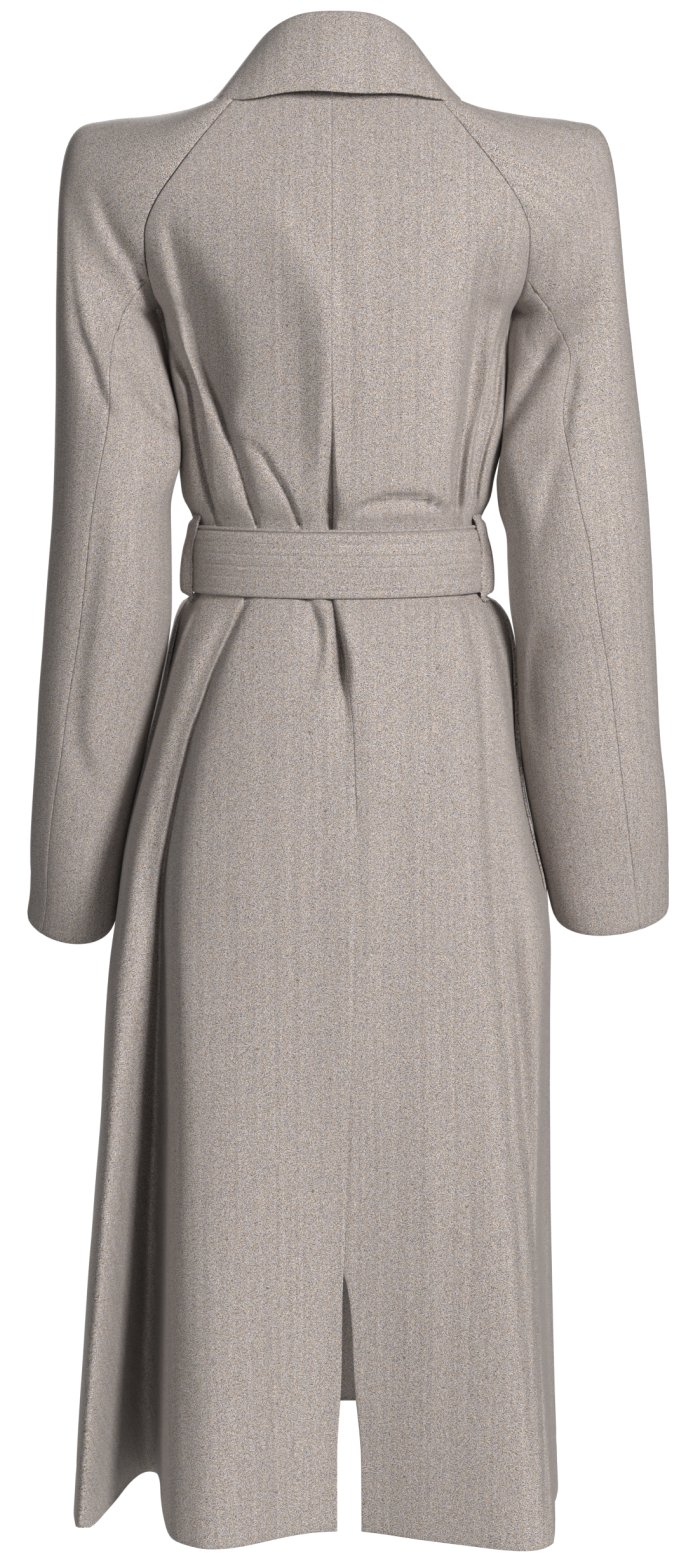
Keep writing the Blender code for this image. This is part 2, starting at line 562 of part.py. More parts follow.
def front_seam(t, side):
    """Place round the ring of the seam down the sleeve's front."""
    if t <= 1:
        return 1 - (1 - SLEEVE[side].at(ARMPIT).front_seam) * max(t - GUSSET, 0) / (1 - GUSSET)
    return SLEEVE[side].at(sleeve_height(t, side)).front_seam


def sleeve_height(t, side):
    """Height of a ring below the armpit."""
    return ARMPIT + (t - 1) * (SLEEVE[side].keys[0] - ARMPIT)


def sleeve_pieces(label, side):
    """The upper and the under piece of one sleeve."""
    gap = SEAM / 0.22
    under_levels = steps(GUSSET, 1, 3) + steps(1, 2, 14)[1:]
    upper = []
    for t in steps(0, GUSSET, 7)[:-1] + under_levels:
        start, end = (back_seam(t, side) + gap, front_seam(t, side) - gap) if t > GUSSET else (0.0, 1.0)
        upper.append([(v, t) for v in steps(start, end, 12)])
    sleeve_wall("sleeve_" + label + "_upper", side, upper)
    under = []
    for level in under_levels:
        row = []
        for c in steps(1, -1, 8):
            top = 1 - (1 - GUSSET) * abs(c)
            t = top + (2 - top) * (level - GUSSET) / (2 - GUSSET)
            opened = min((t - top) / (1 + 0.12 * (1 - abs(c)) - top), 1) if c else 0
            seam = back_seam(max(t, 1), side) if c > 0 else 1 - front_seam(max(t, 1), side)
            v = abs(c) * seam * opened
            row.append((v if c >= 0 else 1 - v, t))
        under.append(row)
    sleeve_wall("sleeve_" + label + "_under", side, under)


def collar_place(s, side):
    """Foot, roll and leaf points of the collar at one station."""
    row = COLLAR.at(s)
    return [Vector((side * x, y, z)) for x, y, z in (row[1:4], row[4:7], row[7:10])], row.belly


def collar_section(s, side):
    """The collar's visible face at one station: up the stand, over the roll and down the fall."""
    (foot, roll, leaf), bulge = collar_place(s, side)
    up = (roll - foot).normalized()
    out = (leaf - roll - up * (leaf - roll).dot(up)).normalized()
    inner_lip = roll - out * 0.0035 - up * 0.0045
    outer_lip = roll + out * 0.0045 - up * 0.0045
    points = [foot.lerp(inner_lip, share) for share in steps(0, 1, 3)]
    points.append(roll - out * 0.0015 - up * 0.0008)
    points.append(roll + out * 0.0020 - up * 0.0006)
    belly = outer_lip.lerp(leaf, 0.5) + (out * 0.75 + up * 0.5) * (leaf - outer_lip).length * bulge
    for share in steps(0, 1, 5):
        rest = 1 - share
        points.append(outer_lip * rest * rest + belly * 2 * rest * share + leaf * share * share)
    return points


def collar(stations):
    """The turned-down collar, one wall from end to end."""
    outer = [collar_section(abs(s), 1 if s >= 0 else -1) for s in steps(-1, 1, stations)]
    inner = []
    for i, row in enumerate(outer):
        before, after = outer[max(i - 1, 0)], outer[min(i + 1, len(outer) - 1)]
        inner.append([])
        for j, point in enumerate(row):
            along = after[j] - before[j]
            down = row[min(j + 1, len(row) - 1)] - row[max(j - 1, 0)]
            normal = along.cross(down).normalized()
            inner[-1].append(point - normal * WALL)
    return wall("collar", outer, inner, TAUPE)


def belt(columns):
    """The belt: a stiff band round the waist."""
    outer, inner = [], []
    for z in (BELT_TOP, (BELT_TOP + BELT_BOTTOM) / 2, BELT_BOTTOM):
        angles = [2 * math.pi * i / columns for i in range(columns)]
        inner.append([band(angle, z, LAP_GAP) for angle in angles])
        outer.append([band(angle, z, LAP_GAP + BELT_THICK) for angle in angles])
    wall("belt", outer, inner, TAUPE, ring=True)


def band(angle, z, out):
    """A point at the belt's section, moved out."""
    reach = radius(angle, (BELT_TOP + BELT_BOTTOM) / 2) + out
    return Vector((reach * math.sin(angle), reach * math.cos(angle), z))


def belt_loop(name, degrees):
    """A strip that stands over the belt, sewn to the side seam above and below it."""
    half = LOOP_WIDE / 2 / radius(math.radians(degrees), BELT_TOP)
    outer, inner = [], []
    for z in steps(LOOP.keys[-1], LOOP.keys[0], 11):
        angles = [math.radians(degrees) + half * share for share in (-1, 0, 1)]
        seat = max(radius(angle, z) - radius(angle, BELT_TOP) for angle in angles) + 2 * SEAM + WALL
        out = max(LOOP.at(z).out, seat)
        outer.append([band(angle, z, out) for angle in angles])
        inner.append([band(angle, z, out - WALL) for angle in angles])
    wall(name, outer, inner, TAUPE)


def belt_end(tie):
    """One hanging end of the belt, lying down the fronts from under the knot."""
    outer, inner = [], []
    top = BELT_BOTTOM - 0.0020
    for z in [top] + [h for kind, h in body_rows() if kind == "z" and top - 0.003 > h > top - tie.length]:
        share = (top - z) / tie.length
        middle = tie.x_top + (tie.x_end - tie.x_top) * share
        outer.append([])
        inner.append([])
        for across in steps(-0.5, 0.5, 4):
            angle = wrapped(angle_at(middle + across * tie.wide, z, -1), 1)
            lift = 0.0006 + 0.003 * math.sin(math.pi * share) ** 2
            outer[-1].append(body(angle, z, lift + BELT_THICK))
            inner[-1].append(body(angle, z, lift))
    wall(tie.name, outer, inner, TAUPE)


def knot():
    """The belt's knot at the middle of the front: a soft block rounded from a cage."""
    mesh = bmesh.new()
    bmesh.ops.create_cube(mesh, size=1)
    bmesh.ops.scale(mesh, vec=KNOT, verts=mesh.verts)
    level = BODY.at((BELT_TOP + BELT_BOTTOM) / 2)
    y = -(level.front + LAP_GAP + BELT_THICK + KNOT[1] * 0.42 + SEAM)
    bmesh.ops.translate(mesh, vec=(0, y, (BELT_TOP + BELT_BOTTOM) / 2), verts=mesh.verts)
    piece = finish("belt_knot", mesh, TAUPE)
    rounding = piece.modifiers.new("rounding", "SUBSURF")
    rounding.levels = rounding.render_levels = 2


for old in list(bpy.data.objects):
    bpy.data.objects.remove(old)
coat = bpy.data.collections.new("coat")
bpy.context.scene.collection.children.link(coat)
TAUPE = (0.45, 0.40, 0.38)

panel("back_left", 1, 1, 18, back_edge(1), flat)
panel("back_right", -1, 1, 18, back_edge(-1), under_vent)
panel("front_left", 1, -1, 13, front_edge(1), under_wrap)
panel("front_right", -1, -1, 13, front_edge(-1), flat)
for label, side in (("left", 1), ("right", -1)):
    sleeve_pieces(label, side)
collar(30)
belt(44)
belt_loop("belt_loop_left", 80)
belt_loop("belt_loop_right", -80)
for tie in TIES:
    belt_end(tie)
knot()
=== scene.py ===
import json
import math
from collections import namedtuple
from functools import lru_cache

import bmesh
import bpy
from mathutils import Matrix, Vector, noise

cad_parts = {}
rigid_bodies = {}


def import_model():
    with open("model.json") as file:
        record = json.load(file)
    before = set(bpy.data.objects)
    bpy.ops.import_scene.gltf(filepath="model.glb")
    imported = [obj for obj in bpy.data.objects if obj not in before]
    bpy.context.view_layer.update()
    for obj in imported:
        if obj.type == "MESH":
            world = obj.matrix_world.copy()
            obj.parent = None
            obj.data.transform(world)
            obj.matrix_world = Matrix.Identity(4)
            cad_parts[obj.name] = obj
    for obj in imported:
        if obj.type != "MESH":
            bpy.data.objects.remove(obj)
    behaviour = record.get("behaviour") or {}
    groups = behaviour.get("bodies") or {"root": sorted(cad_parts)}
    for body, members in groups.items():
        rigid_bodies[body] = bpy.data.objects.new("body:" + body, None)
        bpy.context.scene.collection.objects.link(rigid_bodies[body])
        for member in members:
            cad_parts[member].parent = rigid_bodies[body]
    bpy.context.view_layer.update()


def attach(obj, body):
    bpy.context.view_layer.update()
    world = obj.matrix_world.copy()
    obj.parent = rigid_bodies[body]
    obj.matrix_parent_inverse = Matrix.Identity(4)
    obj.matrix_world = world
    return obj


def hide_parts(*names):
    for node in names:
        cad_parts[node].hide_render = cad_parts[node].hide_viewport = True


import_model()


# The view: the camera stands behind the coat at its height, as the photograph shows it, over a
# plain pale floor with soft light from large panels. The front faces -Y and the wearer's left is +X.
PICTURE = (1080, 2467)        # the photograph's width and height in pixels
LENS = 85.0                   # mm
SENSOR = 36.0                 # mm along the picture's longer side
CAMERA_PLACE = (-0.0052, 3.15, -0.226)
CAMERA_TILT = math.radians(83.793)
FLOOR_HEIGHT = -1.46          # the ground under a wearer whose shoulders carry the coat
FLOOR_RADIUS = 1.4
FLOOR_MIDDLE = (0, 0.85)      # its edge stays below the picture, whose ground is plain white
WORLD_LIGHT = 0.05            # how strongly the white world lights the coat
WORLD_SEEN = 1.05             # how bright the camera sees it


def hex_colour(code):
    """Linear colour of an sRGB hex value."""
    parts = [int(code[i:i + 2], 16) / 255 for i in (1, 3, 5)]
    return [p / 12.92 if p <= 0.04045 else ((p + 0.055) / 1.055) ** 2.4 for p in parts] + [1.0]


def add(material, kind, inputs=None, **settings):
    """Add a node with its settings; an input is a value, or another node's output to link from."""
    node = material.node_tree.nodes.new(kind)
    for name, value in settings.items():
        setattr(node, name, value)
    for name, value in (inputs or {}).items():
        if isinstance(value, bpy.types.NodeSocket):
            material.node_tree.links.new(value, node.inputs[name])
        else:
            node.inputs[name].default_value = value
    return node


camera = bpy.data.objects.new("camera", bpy.data.cameras.new("camera"))
bpy.context.scene.collection.objects.link(camera)
camera.location = CAMERA_PLACE
camera.rotation_euler = (CAMERA_TILT, 0, math.pi)
camera.data.lens = LENS
camera.data.sensor_width = SENSOR
camera.data.clip_end = 100.0
bpy.context.scene.camera = camera

plaster = bpy.data.materials.new("painted plaster floor")
plaster.use_nodes = True
plaster_shader = plaster.node_tree.nodes["Principled BSDF"]
plaster_shader.inputs["Roughness"].default_value = 0.85
mottle = add(plaster, "ShaderNodeTexNoise", {"Scale": 1.2, "Detail": 4.0})
pale = add(plaster, "ShaderNodeMix", {"Factor": mottle.outputs["Fac"], 6: hex_colour("#c9c9c7"),
                                      7: hex_colour("#cfcfce")}, data_type="RGBA")
plaster.node_tree.links.new(pale.outputs[2], plaster_shader.inputs["Base Color"])
ground = bmesh.new()
bmesh.ops.create_circle(ground, cap_ends=True, segments=96, radius=FLOOR_RADIUS)
bmesh.ops.translate(ground, vec=(*FLOOR_MIDDLE, FLOOR_HEIGHT), verts=ground.verts)
floor = bpy.data.objects.new("floor", bpy.data.meshes.new("floor"))
ground.to_mesh(floor.data)
ground.free()
floor.data.materials.append(plaster)
bpy.context.scene.collection.objects.link(floor)

world = bpy.data.worlds.new("white studio")
bpy.context.scene.world = world
world.use_nodes = True
world.node_tree.nodes["Background"].inputs["Color"].default_value = (1.0, 1.0, 1.0, 1)
ray = add(world, "ShaderNodeLightPath")
strength = add(world, "ShaderNodeMapRange", {"Value": ray.outputs["Is Camera Ray"], "To Min": WORLD_LIGHT,
                                             "To Max": WORLD_SEEN})
world.node_tree.links.new(strength.outputs[0], world.node_tree.nodes["Background"].inputs["Strength"])
bpy.context.scene.view_settings.view_transform = "Standard"

Softbox = namedtuple("Softbox", "name place aim wide high watts")
for box in (
    Softbox("key softbox on the right", (-1.8, 2.8, 0.8), (0.0, 0.0, -0.7), 0.9, 1.1, 142),
    Softbox("softbox on the left", (2.6, 2.2, 0.4), (0.0, 0.0, -0.5), 0.8, 1.2, 17),
    Softbox("softbox beside the camera", (0.5, 3.4, -0.2), (0.0, 0.0, -0.6), 0.8, 0.8, 9),
    Softbox("softbox overhead", (0.0, 0.3, 2.4), (0.0, 0.0, 0.0), 2.0, 2.0, 5),
    Softbox("softbox at the front", (0.6, -3.2, 0.9), (0.0, 0.0, -0.5), 1.4, 1.8, 150),
):
    lamp = bpy.data.lights.new(box.name, "AREA")
    lamp.shape = "RECTANGLE"
    lamp.size, lamp.size_y, lamp.energy = box.wide, box.high, box.watts
    light = bpy.data.objects.new(box.name, lamp)
    light.location = box.place
    light.rotation_euler = (Vector(box.aim) - Vector(box.place)).to_track_quat("-Z", "Y").to_euler()
    bpy.context.scene.collection.objects.link(light)


# The back: two halves of a greige wool crepe coating, seamed down the middle and free below at the
# vent, where the left half laps over the right. The belt gathers the cloth, so creases run up from it
# to the armholes and down from it into the skirt, and deep folds hang between the back and the sides.
CLOTH = 0.0018                # a wool crepe coating
SEAM = 0.00008                # gap between neighbouring pieces
WALL = 0.002                  # the solid's wall, which sets how far a lapped layer lies in
WRAP_GAP = 0.0018             # gap between the two fronts, which lie loosely
ARMPIT = -0.168               # height where the raglan seams meet under the arm
BELT_TOP = -0.3455
BELT_BOTTOM = -0.4025
HEM = -1.172
VENT_TOP = -0.580
VENT_OPEN = -0.935            # the vent's edges lap above this height and part below it
PRESSED = 0.016               # height beside the belt over which its grip on the cloth dies away
GRIP_TOP = BELT_TOP + 0.002   # the belt's full grip reaches a little past its edges
GRIP_BOTTOM = BELT_BOTTOM - 0.002


class Table:
    """Rows of sizes with named columns, read smoothly between the values in the first column."""

    def __init__(self, columns, rows):
        self.row = namedtuple("Row", columns)
        self.rows = sorted(rows)
        self.keys = [row[0] for row in self.rows]
        self.at = lru_cache(maxsize=None)(self.read)

    def slope(self, column, index):
        """Slope at a row, level at a peak and never steep enough to overshoot."""
        last = len(self.rows) - 1
        spans, steps_up = [], []
        for low in (index - 1, index):
            if 0 <= low < last:
                spans.append(self.keys[low + 1] - self.keys[low])
                steps_up.append((self.rows[low + 1][column] - self.rows[low][column]) / spans[-1])
        if len(steps_up) == 1:
            return steps_up[0]
        if steps_up[0] * steps_up[1] <= 0:
            return 0.0
        mean = (steps_up[0] * spans[1] + steps_up[1] * spans[0]) / (spans[0] + spans[1])
        limit = 3 * min(abs(steps_up[0]), abs(steps_up[1]))
        return math.copysign(min(abs(mean), limit), mean)

    def read(self, key):
        """All columns at one key value."""
        key = min(max(key, self.keys[0]), self.keys[-1])
        low = 0
        while low < len(self.keys) - 2 and key > self.keys[low + 1]:
            low += 1
        span = self.keys[low + 1] - self.keys[low]
        s = (key - self.keys[low]) / span
        values = [key]
        for column in range(1, len(self.rows[0])):
            start, end = self.rows[low][column], self.rows[low + 1][column]
            lean_in = self.slope(column, low) * span
            lean_out = self.slope(column, low + 1) * span
            values.append((2 * s ** 3 - 3 * s ** 2 + 1) * start + (s ** 3 - 2 * s ** 2 + s) * lean_in
                          + (3 * s ** 2 - 2 * s ** 3) * end + (s ** 3 - s ** 2) * lean_out)
        return self.row(*values)


# Sections of the body, top to bottom: half widths to the wearer's left and right, depths to the back
# and the front, and how square the section is (2 is an ellipse).
BODY = Table("z left right back front square", [
    (0.020, 0.150, 0.150, 0.061, 0.034, 2.5),
    (0.000, 0.180, 0.180, 0.073, 0.042, 2.5),
    (-0.040, 0.221, 0.221, 0.092, 0.066, 2.5),
    (-0.083, 0.206, 0.206, 0.107, 0.092, 2.5),
    (-0.109, 0.189, 0.189, 0.112, 0.106, 2.5),
    (-0.136, 0.1675, 0.1675, 0.116, 0.118, 2.5),
    (-0.154, 0.1560, 0.1560, 0.118, 0.124, 2.5),
    (-0.168, 0.1470, 0.1470, 0.119, 0.127, 2.45),
    (-0.205, 0.1430, 0.1435, 0.120, 0.133, 2.4),
    (-0.248, 0.1370, 0.1435, 0.119, 0.131, 2.4),
    (-0.275, 0.1345, 0.1410, 0.117, 0.125, 2.4),
    (-0.308, 0.1330, 0.1325, 0.113, 0.115, 2.4),
    (-0.325, 0.1300, 0.1290, 0.108, 0.107, 2.35),
    (-0.337, 0.1235, 0.1235, 0.100, 0.098, 2.3),
    (-0.344, 0.1210, 0.1215, 0.094, 0.092, 2.3),
    (-0.404, 0.1210, 0.1215, 0.094, 0.092, 2.3),
    (-0.410, 0.1270, 0.1300, 0.099, 0.095, 2.3),
    (-0.422, 0.1335, 0.1410, 0.107, 0.101, 2.3),
    (-0.441, 0.1385, 0.1480, 0.115, 0.109, 2.4),
    (-0.484, 0.1475, 0.1515, 0.127, 0.121, 2.5),
    (-0.527, 0.1585, 0.1535, 0.136, 0.131, 2.6),
    (-0.575, 0.1705, 0.1590, 0.143, 0.141, 2.7),
    (-0.620, 0.1800, 0.1690, 0.149, 0.150, 2.8),
    (-0.667, 0.1865, 0.1800, 0.154, 0.158, 2.9),
    (-0.704, 0.1920, 0.1830, 0.157, 0.164, 3.0),
    (-0.860, 0.2020, 0.1825, 0.168, 0.190, 3.2),
    (-0.994, 0.2120, 0.1850, 0.176, 0.209, 3.3),
    (HEM, 0.2230, 0.1915, 0.186, 0.230, 3.4),
])

# The raglan line from the neck (0) to the armpit (1), for both sides and for back and front: the
# seam's place across and up, the height of the back's middle and the place and height of the front's
# edge in the same row, and the sleeve's top line. The sleeve leaves the seam along the body's
# surface, sloping up by rise, and turned out of that surface by turn degrees. Reach and round say
# how far its curve runs on straight at the seam and at the top line.
RAGLAN = Table("t x z back_z edge_x edge_z top_left top_right top_z rise turn reach round", [
    (0.00, 0.0800, 0.010, 0.018, 0.074, 0.002, 0.086, 0.086, 0.0040, 0.3, 6, 0.020, 0.020),
    (0.15, 0.1050, -0.019, -0.006, 0.068, -0.023, 0.118, 0.118, 0.0010, 1.0, 8, 0.030, 0.030),
    (0.30, 0.1300, -0.051, -0.032, 0.060, -0.050, 0.155, 0.157, -0.0045, 1.0, 10, 0.038, 0.040),
    (0.45, 0.1500, -0.080, -0.060, 0.051, -0.080, 0.191, 0.195, -0.0085, 0.6, 13, 0.045, 0.050),
    (0.60, 0.1590, -0.107, -0.090, 0.042, -0.108, 0.2185, 0.2215, -0.0165, 0.3, 24, 0.050, 0.060),
    (0.75, 0.1580, -0.132, -0.120, 0.033, -0.134, 0.2315, 0.2335, -0.0500, 0.1, 52, 0.060, 0.070),
    (0.88, 0.1535, -0.153, -0.147, 0.025, -0.153, 0.2350, 0.2390, -0.1060, 0.0, 98, 0.074, 0.084),
    (1.00, 0.1470, -0.168, -0.168, 0.018, -0.168, 0.2360, 0.2445, -0.1680, 0.0, 150, 0.093, 0.093),
])

# Centre back: the place across of the left half's edge and of the right half's edge.
BACK_EDGE = Table("z left right", [
    (0.020, 0.004, 0.004), (-0.200, 0.004, 0.004), (BELT_BOTTOM, 0.003, 0.003),
    (-0.460, -0.007, -0.007), (-0.500, -0.0125, -0.0125), (-0.560, -0.0155, -0.0155),
    (VENT_TOP, -0.0165, -0.0165), (-0.602, -0.0180, -0.0080), (-0.700, -0.0145, -0.0045),
    (VENT_OPEN, -0.0067, -0.0007), (-0.970, -0.0050, -0.0090), (-1.050, -0.0037, -0.0150),
    (-1.110, -0.0005, -0.0205), (HEM, -0.0005, -0.0210),
])

# Large folds of the body, each a line down the cloth: how much it pushes along the coat's depth
# (1) or straight out of the section (0), then rows of height, angle in degrees round from the middle
# of the back towards the wearer's left, half widths on the greater and the lesser angle's side, and
# how far the cloth stands out there (in, where it is negative).
Fold = namedtuple("Fold", "depthwise line")
FOLD_COLUMNS = "z at more less out"
FOLD_REACH = 3                # half widths from its line past which a fold has died away
FOLDS = [Fold(depthwise, Table(FOLD_COLUMNS, rows)) for depthwise, rows in (
    # the back's left lobe
    (1.0, [(-0.700, 30, 14, 16, 0.0), (-0.900, 30, 12, 15, 0.010), (-1.060, 30, 10, 14, 0.023),
           (HEM, 30, 10, 14, 0.038)]),
    # the deep valley beside it
    (1.0, [(-0.404, 43, 5, 4, 0.0), (-0.435, 46, 6, 4, -0.008), (-0.500, 50, 8, 5, -0.013),
           (-0.600, 52, 9, 5, -0.020), (-0.700, 50, 9, 4.5, -0.032), (-0.850, 47.5, 9, 4, -0.060),
           (-0.957, 46, 9, 3.5, -0.088), (-1.070, 45, 10, 3.2, -0.120), (HEM, 43.5, 10, 3, -0.158)]),
    # the side's flap
    (1.0, [(-0.560, 66, 10, 9, 0.0), (-0.700, 66, 11, 8, 0.010), (-0.900, 66, 13, 10, 0.028),
           (HEM, 68, 16, 13, 0.066)]),
    # the back's right lobe, with the drop to the side beyond it
    (1.0, [(-0.404, -66, 8, 6, 0.0), (-0.440, -66, 10, 6, 0.003), (-0.500, -70, 14, 6, 0.006),
           (-0.590, -73, 16, 6, 0.010), (-0.700, -62, 18, 5, 0.018), (-0.850, -56, 20, 4.5, 0.034),
           (-0.957, -54, 22, 4, 0.047), (-1.070, -55, 24, 3.8, 0.065), (HEM, -56.5, 26, 3.5, 0.086)]),
    # the back's middle
    (1.0, [(-0.800, 0, 12, 12, 0.0), (HEM, 0, 14, 14, -0.014)]),
    (0.0, [(-0.090, 10, 14, 14, 0.0), (-0.195, 3, 12, 12, -0.004), (-0.290, 1, 9, 9, -0.005),
           (-0.336, 3, 6, 6, -0.004), (-0.344, 3, 6, 6, 0.0)]),
    # two creases and the roll between them at each side of the back, down to the belt
    (0.0, [(-0.175, 73, 5, 4, 0.0), (-0.222, 63, 5, 4, -0.008), (-0.290, 57.5, 5, 3.5, -0.009),
           (-0.330, 55.5, 4, 3, -0.006), (-0.344, 55, 4, 3, 0.0)]),
    (0.0, [(-0.180, 60, 4, 5, 0.0), (-0.235, 52, 4, 5, -0.006), (-0.290, 41, 3.5, 5, -0.007),
           (-0.330, 38, 3, 4, -0.005), (-0.344, 38, 3, 4, 0.0)]),
    (0.0, [(-0.150, -53, 4, 5, 0.0), (-0.210, -54.5, 4, 5, -0.006), (-0.290, -50.5, 4, 5, -0.007),
           (-0.330, -53, 3, 4, -0.004), (-0.344, -53, 3, 4, 0.0)]),
    (0.0, [(-0.165, -75, 4, 5, 0.0), (-0.216, -68, 4, 5, -0.007), (-0.280, -60.5, 4, 5, -0.008),
           (-0.330, -62, 3, 4, -0.005), (-0.344, -62, 3, 4, 0.0)]),
    # the front: drag from the bust to the belt, and soft lobes down the skirt
    (0.0, [(-0.200, 118, 6, 6, 0.0), (-0.280, 124, 6, 6, -0.006), (-0.330, 128, 5, 5, -0.005),
           (-0.344, 128, 5, 5, 0.0)]),
    (0.0, [(-0.190, -114, 6, 6, 0.0), (-0.270, -122, 6, 6, -0.007), (-0.330, -130, 5, 5, -0.005),
           (-0.344, -130, 5, 5, 0.0)]),
    (0.6, [(-0.420, 134, 9, 9, 0.0), (-0.560, 132, 11, 10, 0.005), (-0.900, 128, 14, 11, 0.014),
           (HEM, 126, 15, 11, 0.030)]),
    (0.6, [(-0.420, 112, 8, 8, 0.0), (-0.560, 111, 8, 8, -0.006), (-0.900, 108, 9, 9, -0.014),
           (HEM, 106, 9, 9, -0.026)]),
    (0.6, [(-0.420, -128, 9, 9, 0.0), (-0.560, -128, 10, 11, 0.006), (-0.900, -125, 11, 14, 0.016),
           (HEM, -124, 12, 15, 0.028)]),
    (0.6, [(-0.420, -108, 8, 8, 0.0), (-0.560, -107, 8, 8, -0.006), (-0.900, -104, 9, 9, -0.012),
           (HEM, -102, 9, 9, -0.020)]),
)]

# Where the panels' columns crowd together round the deep folds, as a share of each back half.
FOCUS = Table("z left right", [
    (0.020, 0.60, 0.62), (ARMPIT, 0.60, 0.64), (BELT_TOP, 0.50, 0.62), (BELT_BOTTOM, 0.48, 0.72),
    (-0.500, 0.55, 0.77), (-0.600, 0.57, 0.79), (-0.700, 0.55, 0.69), (-0.850, 0.52, 0.63),
    (-0.957, 0.505, 0.61), (-1.070, 0.495, 0.62), (HEM, 0.478, 0.635),
])


def ramp(value, start, end):
    """A soft rise from 0 at start to 1 at end."""
    s = min(max((value - start) / (end - start), 0.0), 1.0)
    return s * s * (3 - 2 * s)


def steps(start, end, count):
    """Evenly spaced values from start to end, both included."""
    return [start + (end - start) * i / count for i in range(count + 1)]


def radius(angle, z):
    """Distance from the body's axis to its plain section."""
    level = BODY.at(z)
    sine, cosine = math.sin(angle), math.cos(angle)
    across = level.left if sine > 0 else level.right
    along = level.back if cosine > 0 else level.front
    power = level.square
    return ((abs(sine) / across) ** power + (abs(cosine) / along) ** power) ** (-1 / power)


@lru_cache(maxsize=None)
def grip(z):
    """How freely the cloth moves at a height: 0 where the belt presses it, 1 away from the belt."""
    return ramp(z, GRIP_TOP, BELT_TOP + PRESSED) + ramp(z, GRIP_BOTTOM, BELT_BOTTOM - PRESSED)


@lru_cache(maxsize=None)
def folds_at(z):
    """The folds that reach a height, each with its row there and its share along the coat's depth."""
    found = []
    for fold in FOLDS:
        low, top = fold.line.keys[0], fold.line.keys[-1]
        if z <= top and (z >= low or low == HEM):
            row = fold.line.at(z)
            found.append((row, fold.depthwise, math.copysign(1, math.cos(math.radians(row.at)))))
    return found


def relief(angle, z):
    """How far the folds push the cloth off the plain section: straight out, and towards the back."""
    straight = along = 0.0
    free = grip(z)
    if free > 0:
        for row, depthwise, backwards in folds_at(z):
            away = (math.degrees(angle) - row.at + 180) % 360 - 180
            share = away / (row.more if away > 0 else row.less)
            if abs(share) < FOLD_REACH:
                out = row.out * math.exp(-share ** 2) * free
                along += out * depthwise * backwards
                straight += out * (1 - depthwise)
    return straight, along


def body(angle, z, out=0.0):
    """A point of the coat's outer face, round from the middle of the back by an angle."""
    straight, along = relief(angle, z)
    reach = radius(angle, z) + straight + out
    return Vector((reach * math.sin(angle), reach * math.cos(angle) + along, z))


def angle_at(x, z, face):
    """The angle where the body's back (1) or front (-1) stands at x to one side."""
    level = BODY.at(z)
    across = level.left if x > 0 else level.right
    along = level.back if face > 0 else level.front
    share = min(abs(x) / across, 1.0) ** level.square
    return math.atan2(x, face * along * (1 - share) ** (1 / level.square))


# A crease: a trough down a line, steep on one side where a roll of cloth stands beside it.
# The lines are traced where the camera sees them. Rows are the place down the photograph in pixels, the
# place across it, then the trough's depth in mm and its half width in pixels. The roll, in mm, stands on
# the line's right, or on its left where it is negative. Where a depth is negative, the cloth stands out.
# A level line's rows begin with the place across, and its roll stands above it, or below it where it is
# negative.
PIXELS_PER_RADIAN = LENS / SENSOR * PICTURE[1]
STEEP = 0.34                  # width of a trough's steep side, as a share of its other side
ROLL_AT = 1.1                 # half widths from the trough's line to the roll's crest
ROLL_NEAR = 0.55              # the roll's own width towards the line, and away from it
ROLL_FAR = 1.5
CREASE_REACH = (-3, 5)        # half widths from its line past which a crease has died away
MM = 0.001
Crease = namedtuple("Crease", "roll level line deepest")


def crease(roll, rows, level=False):
    """A crease with its line read smoothly between its rows."""
    return Crease(roll, level, Table("place aside deep wide", rows), max(abs(row[2]) for row in rows))


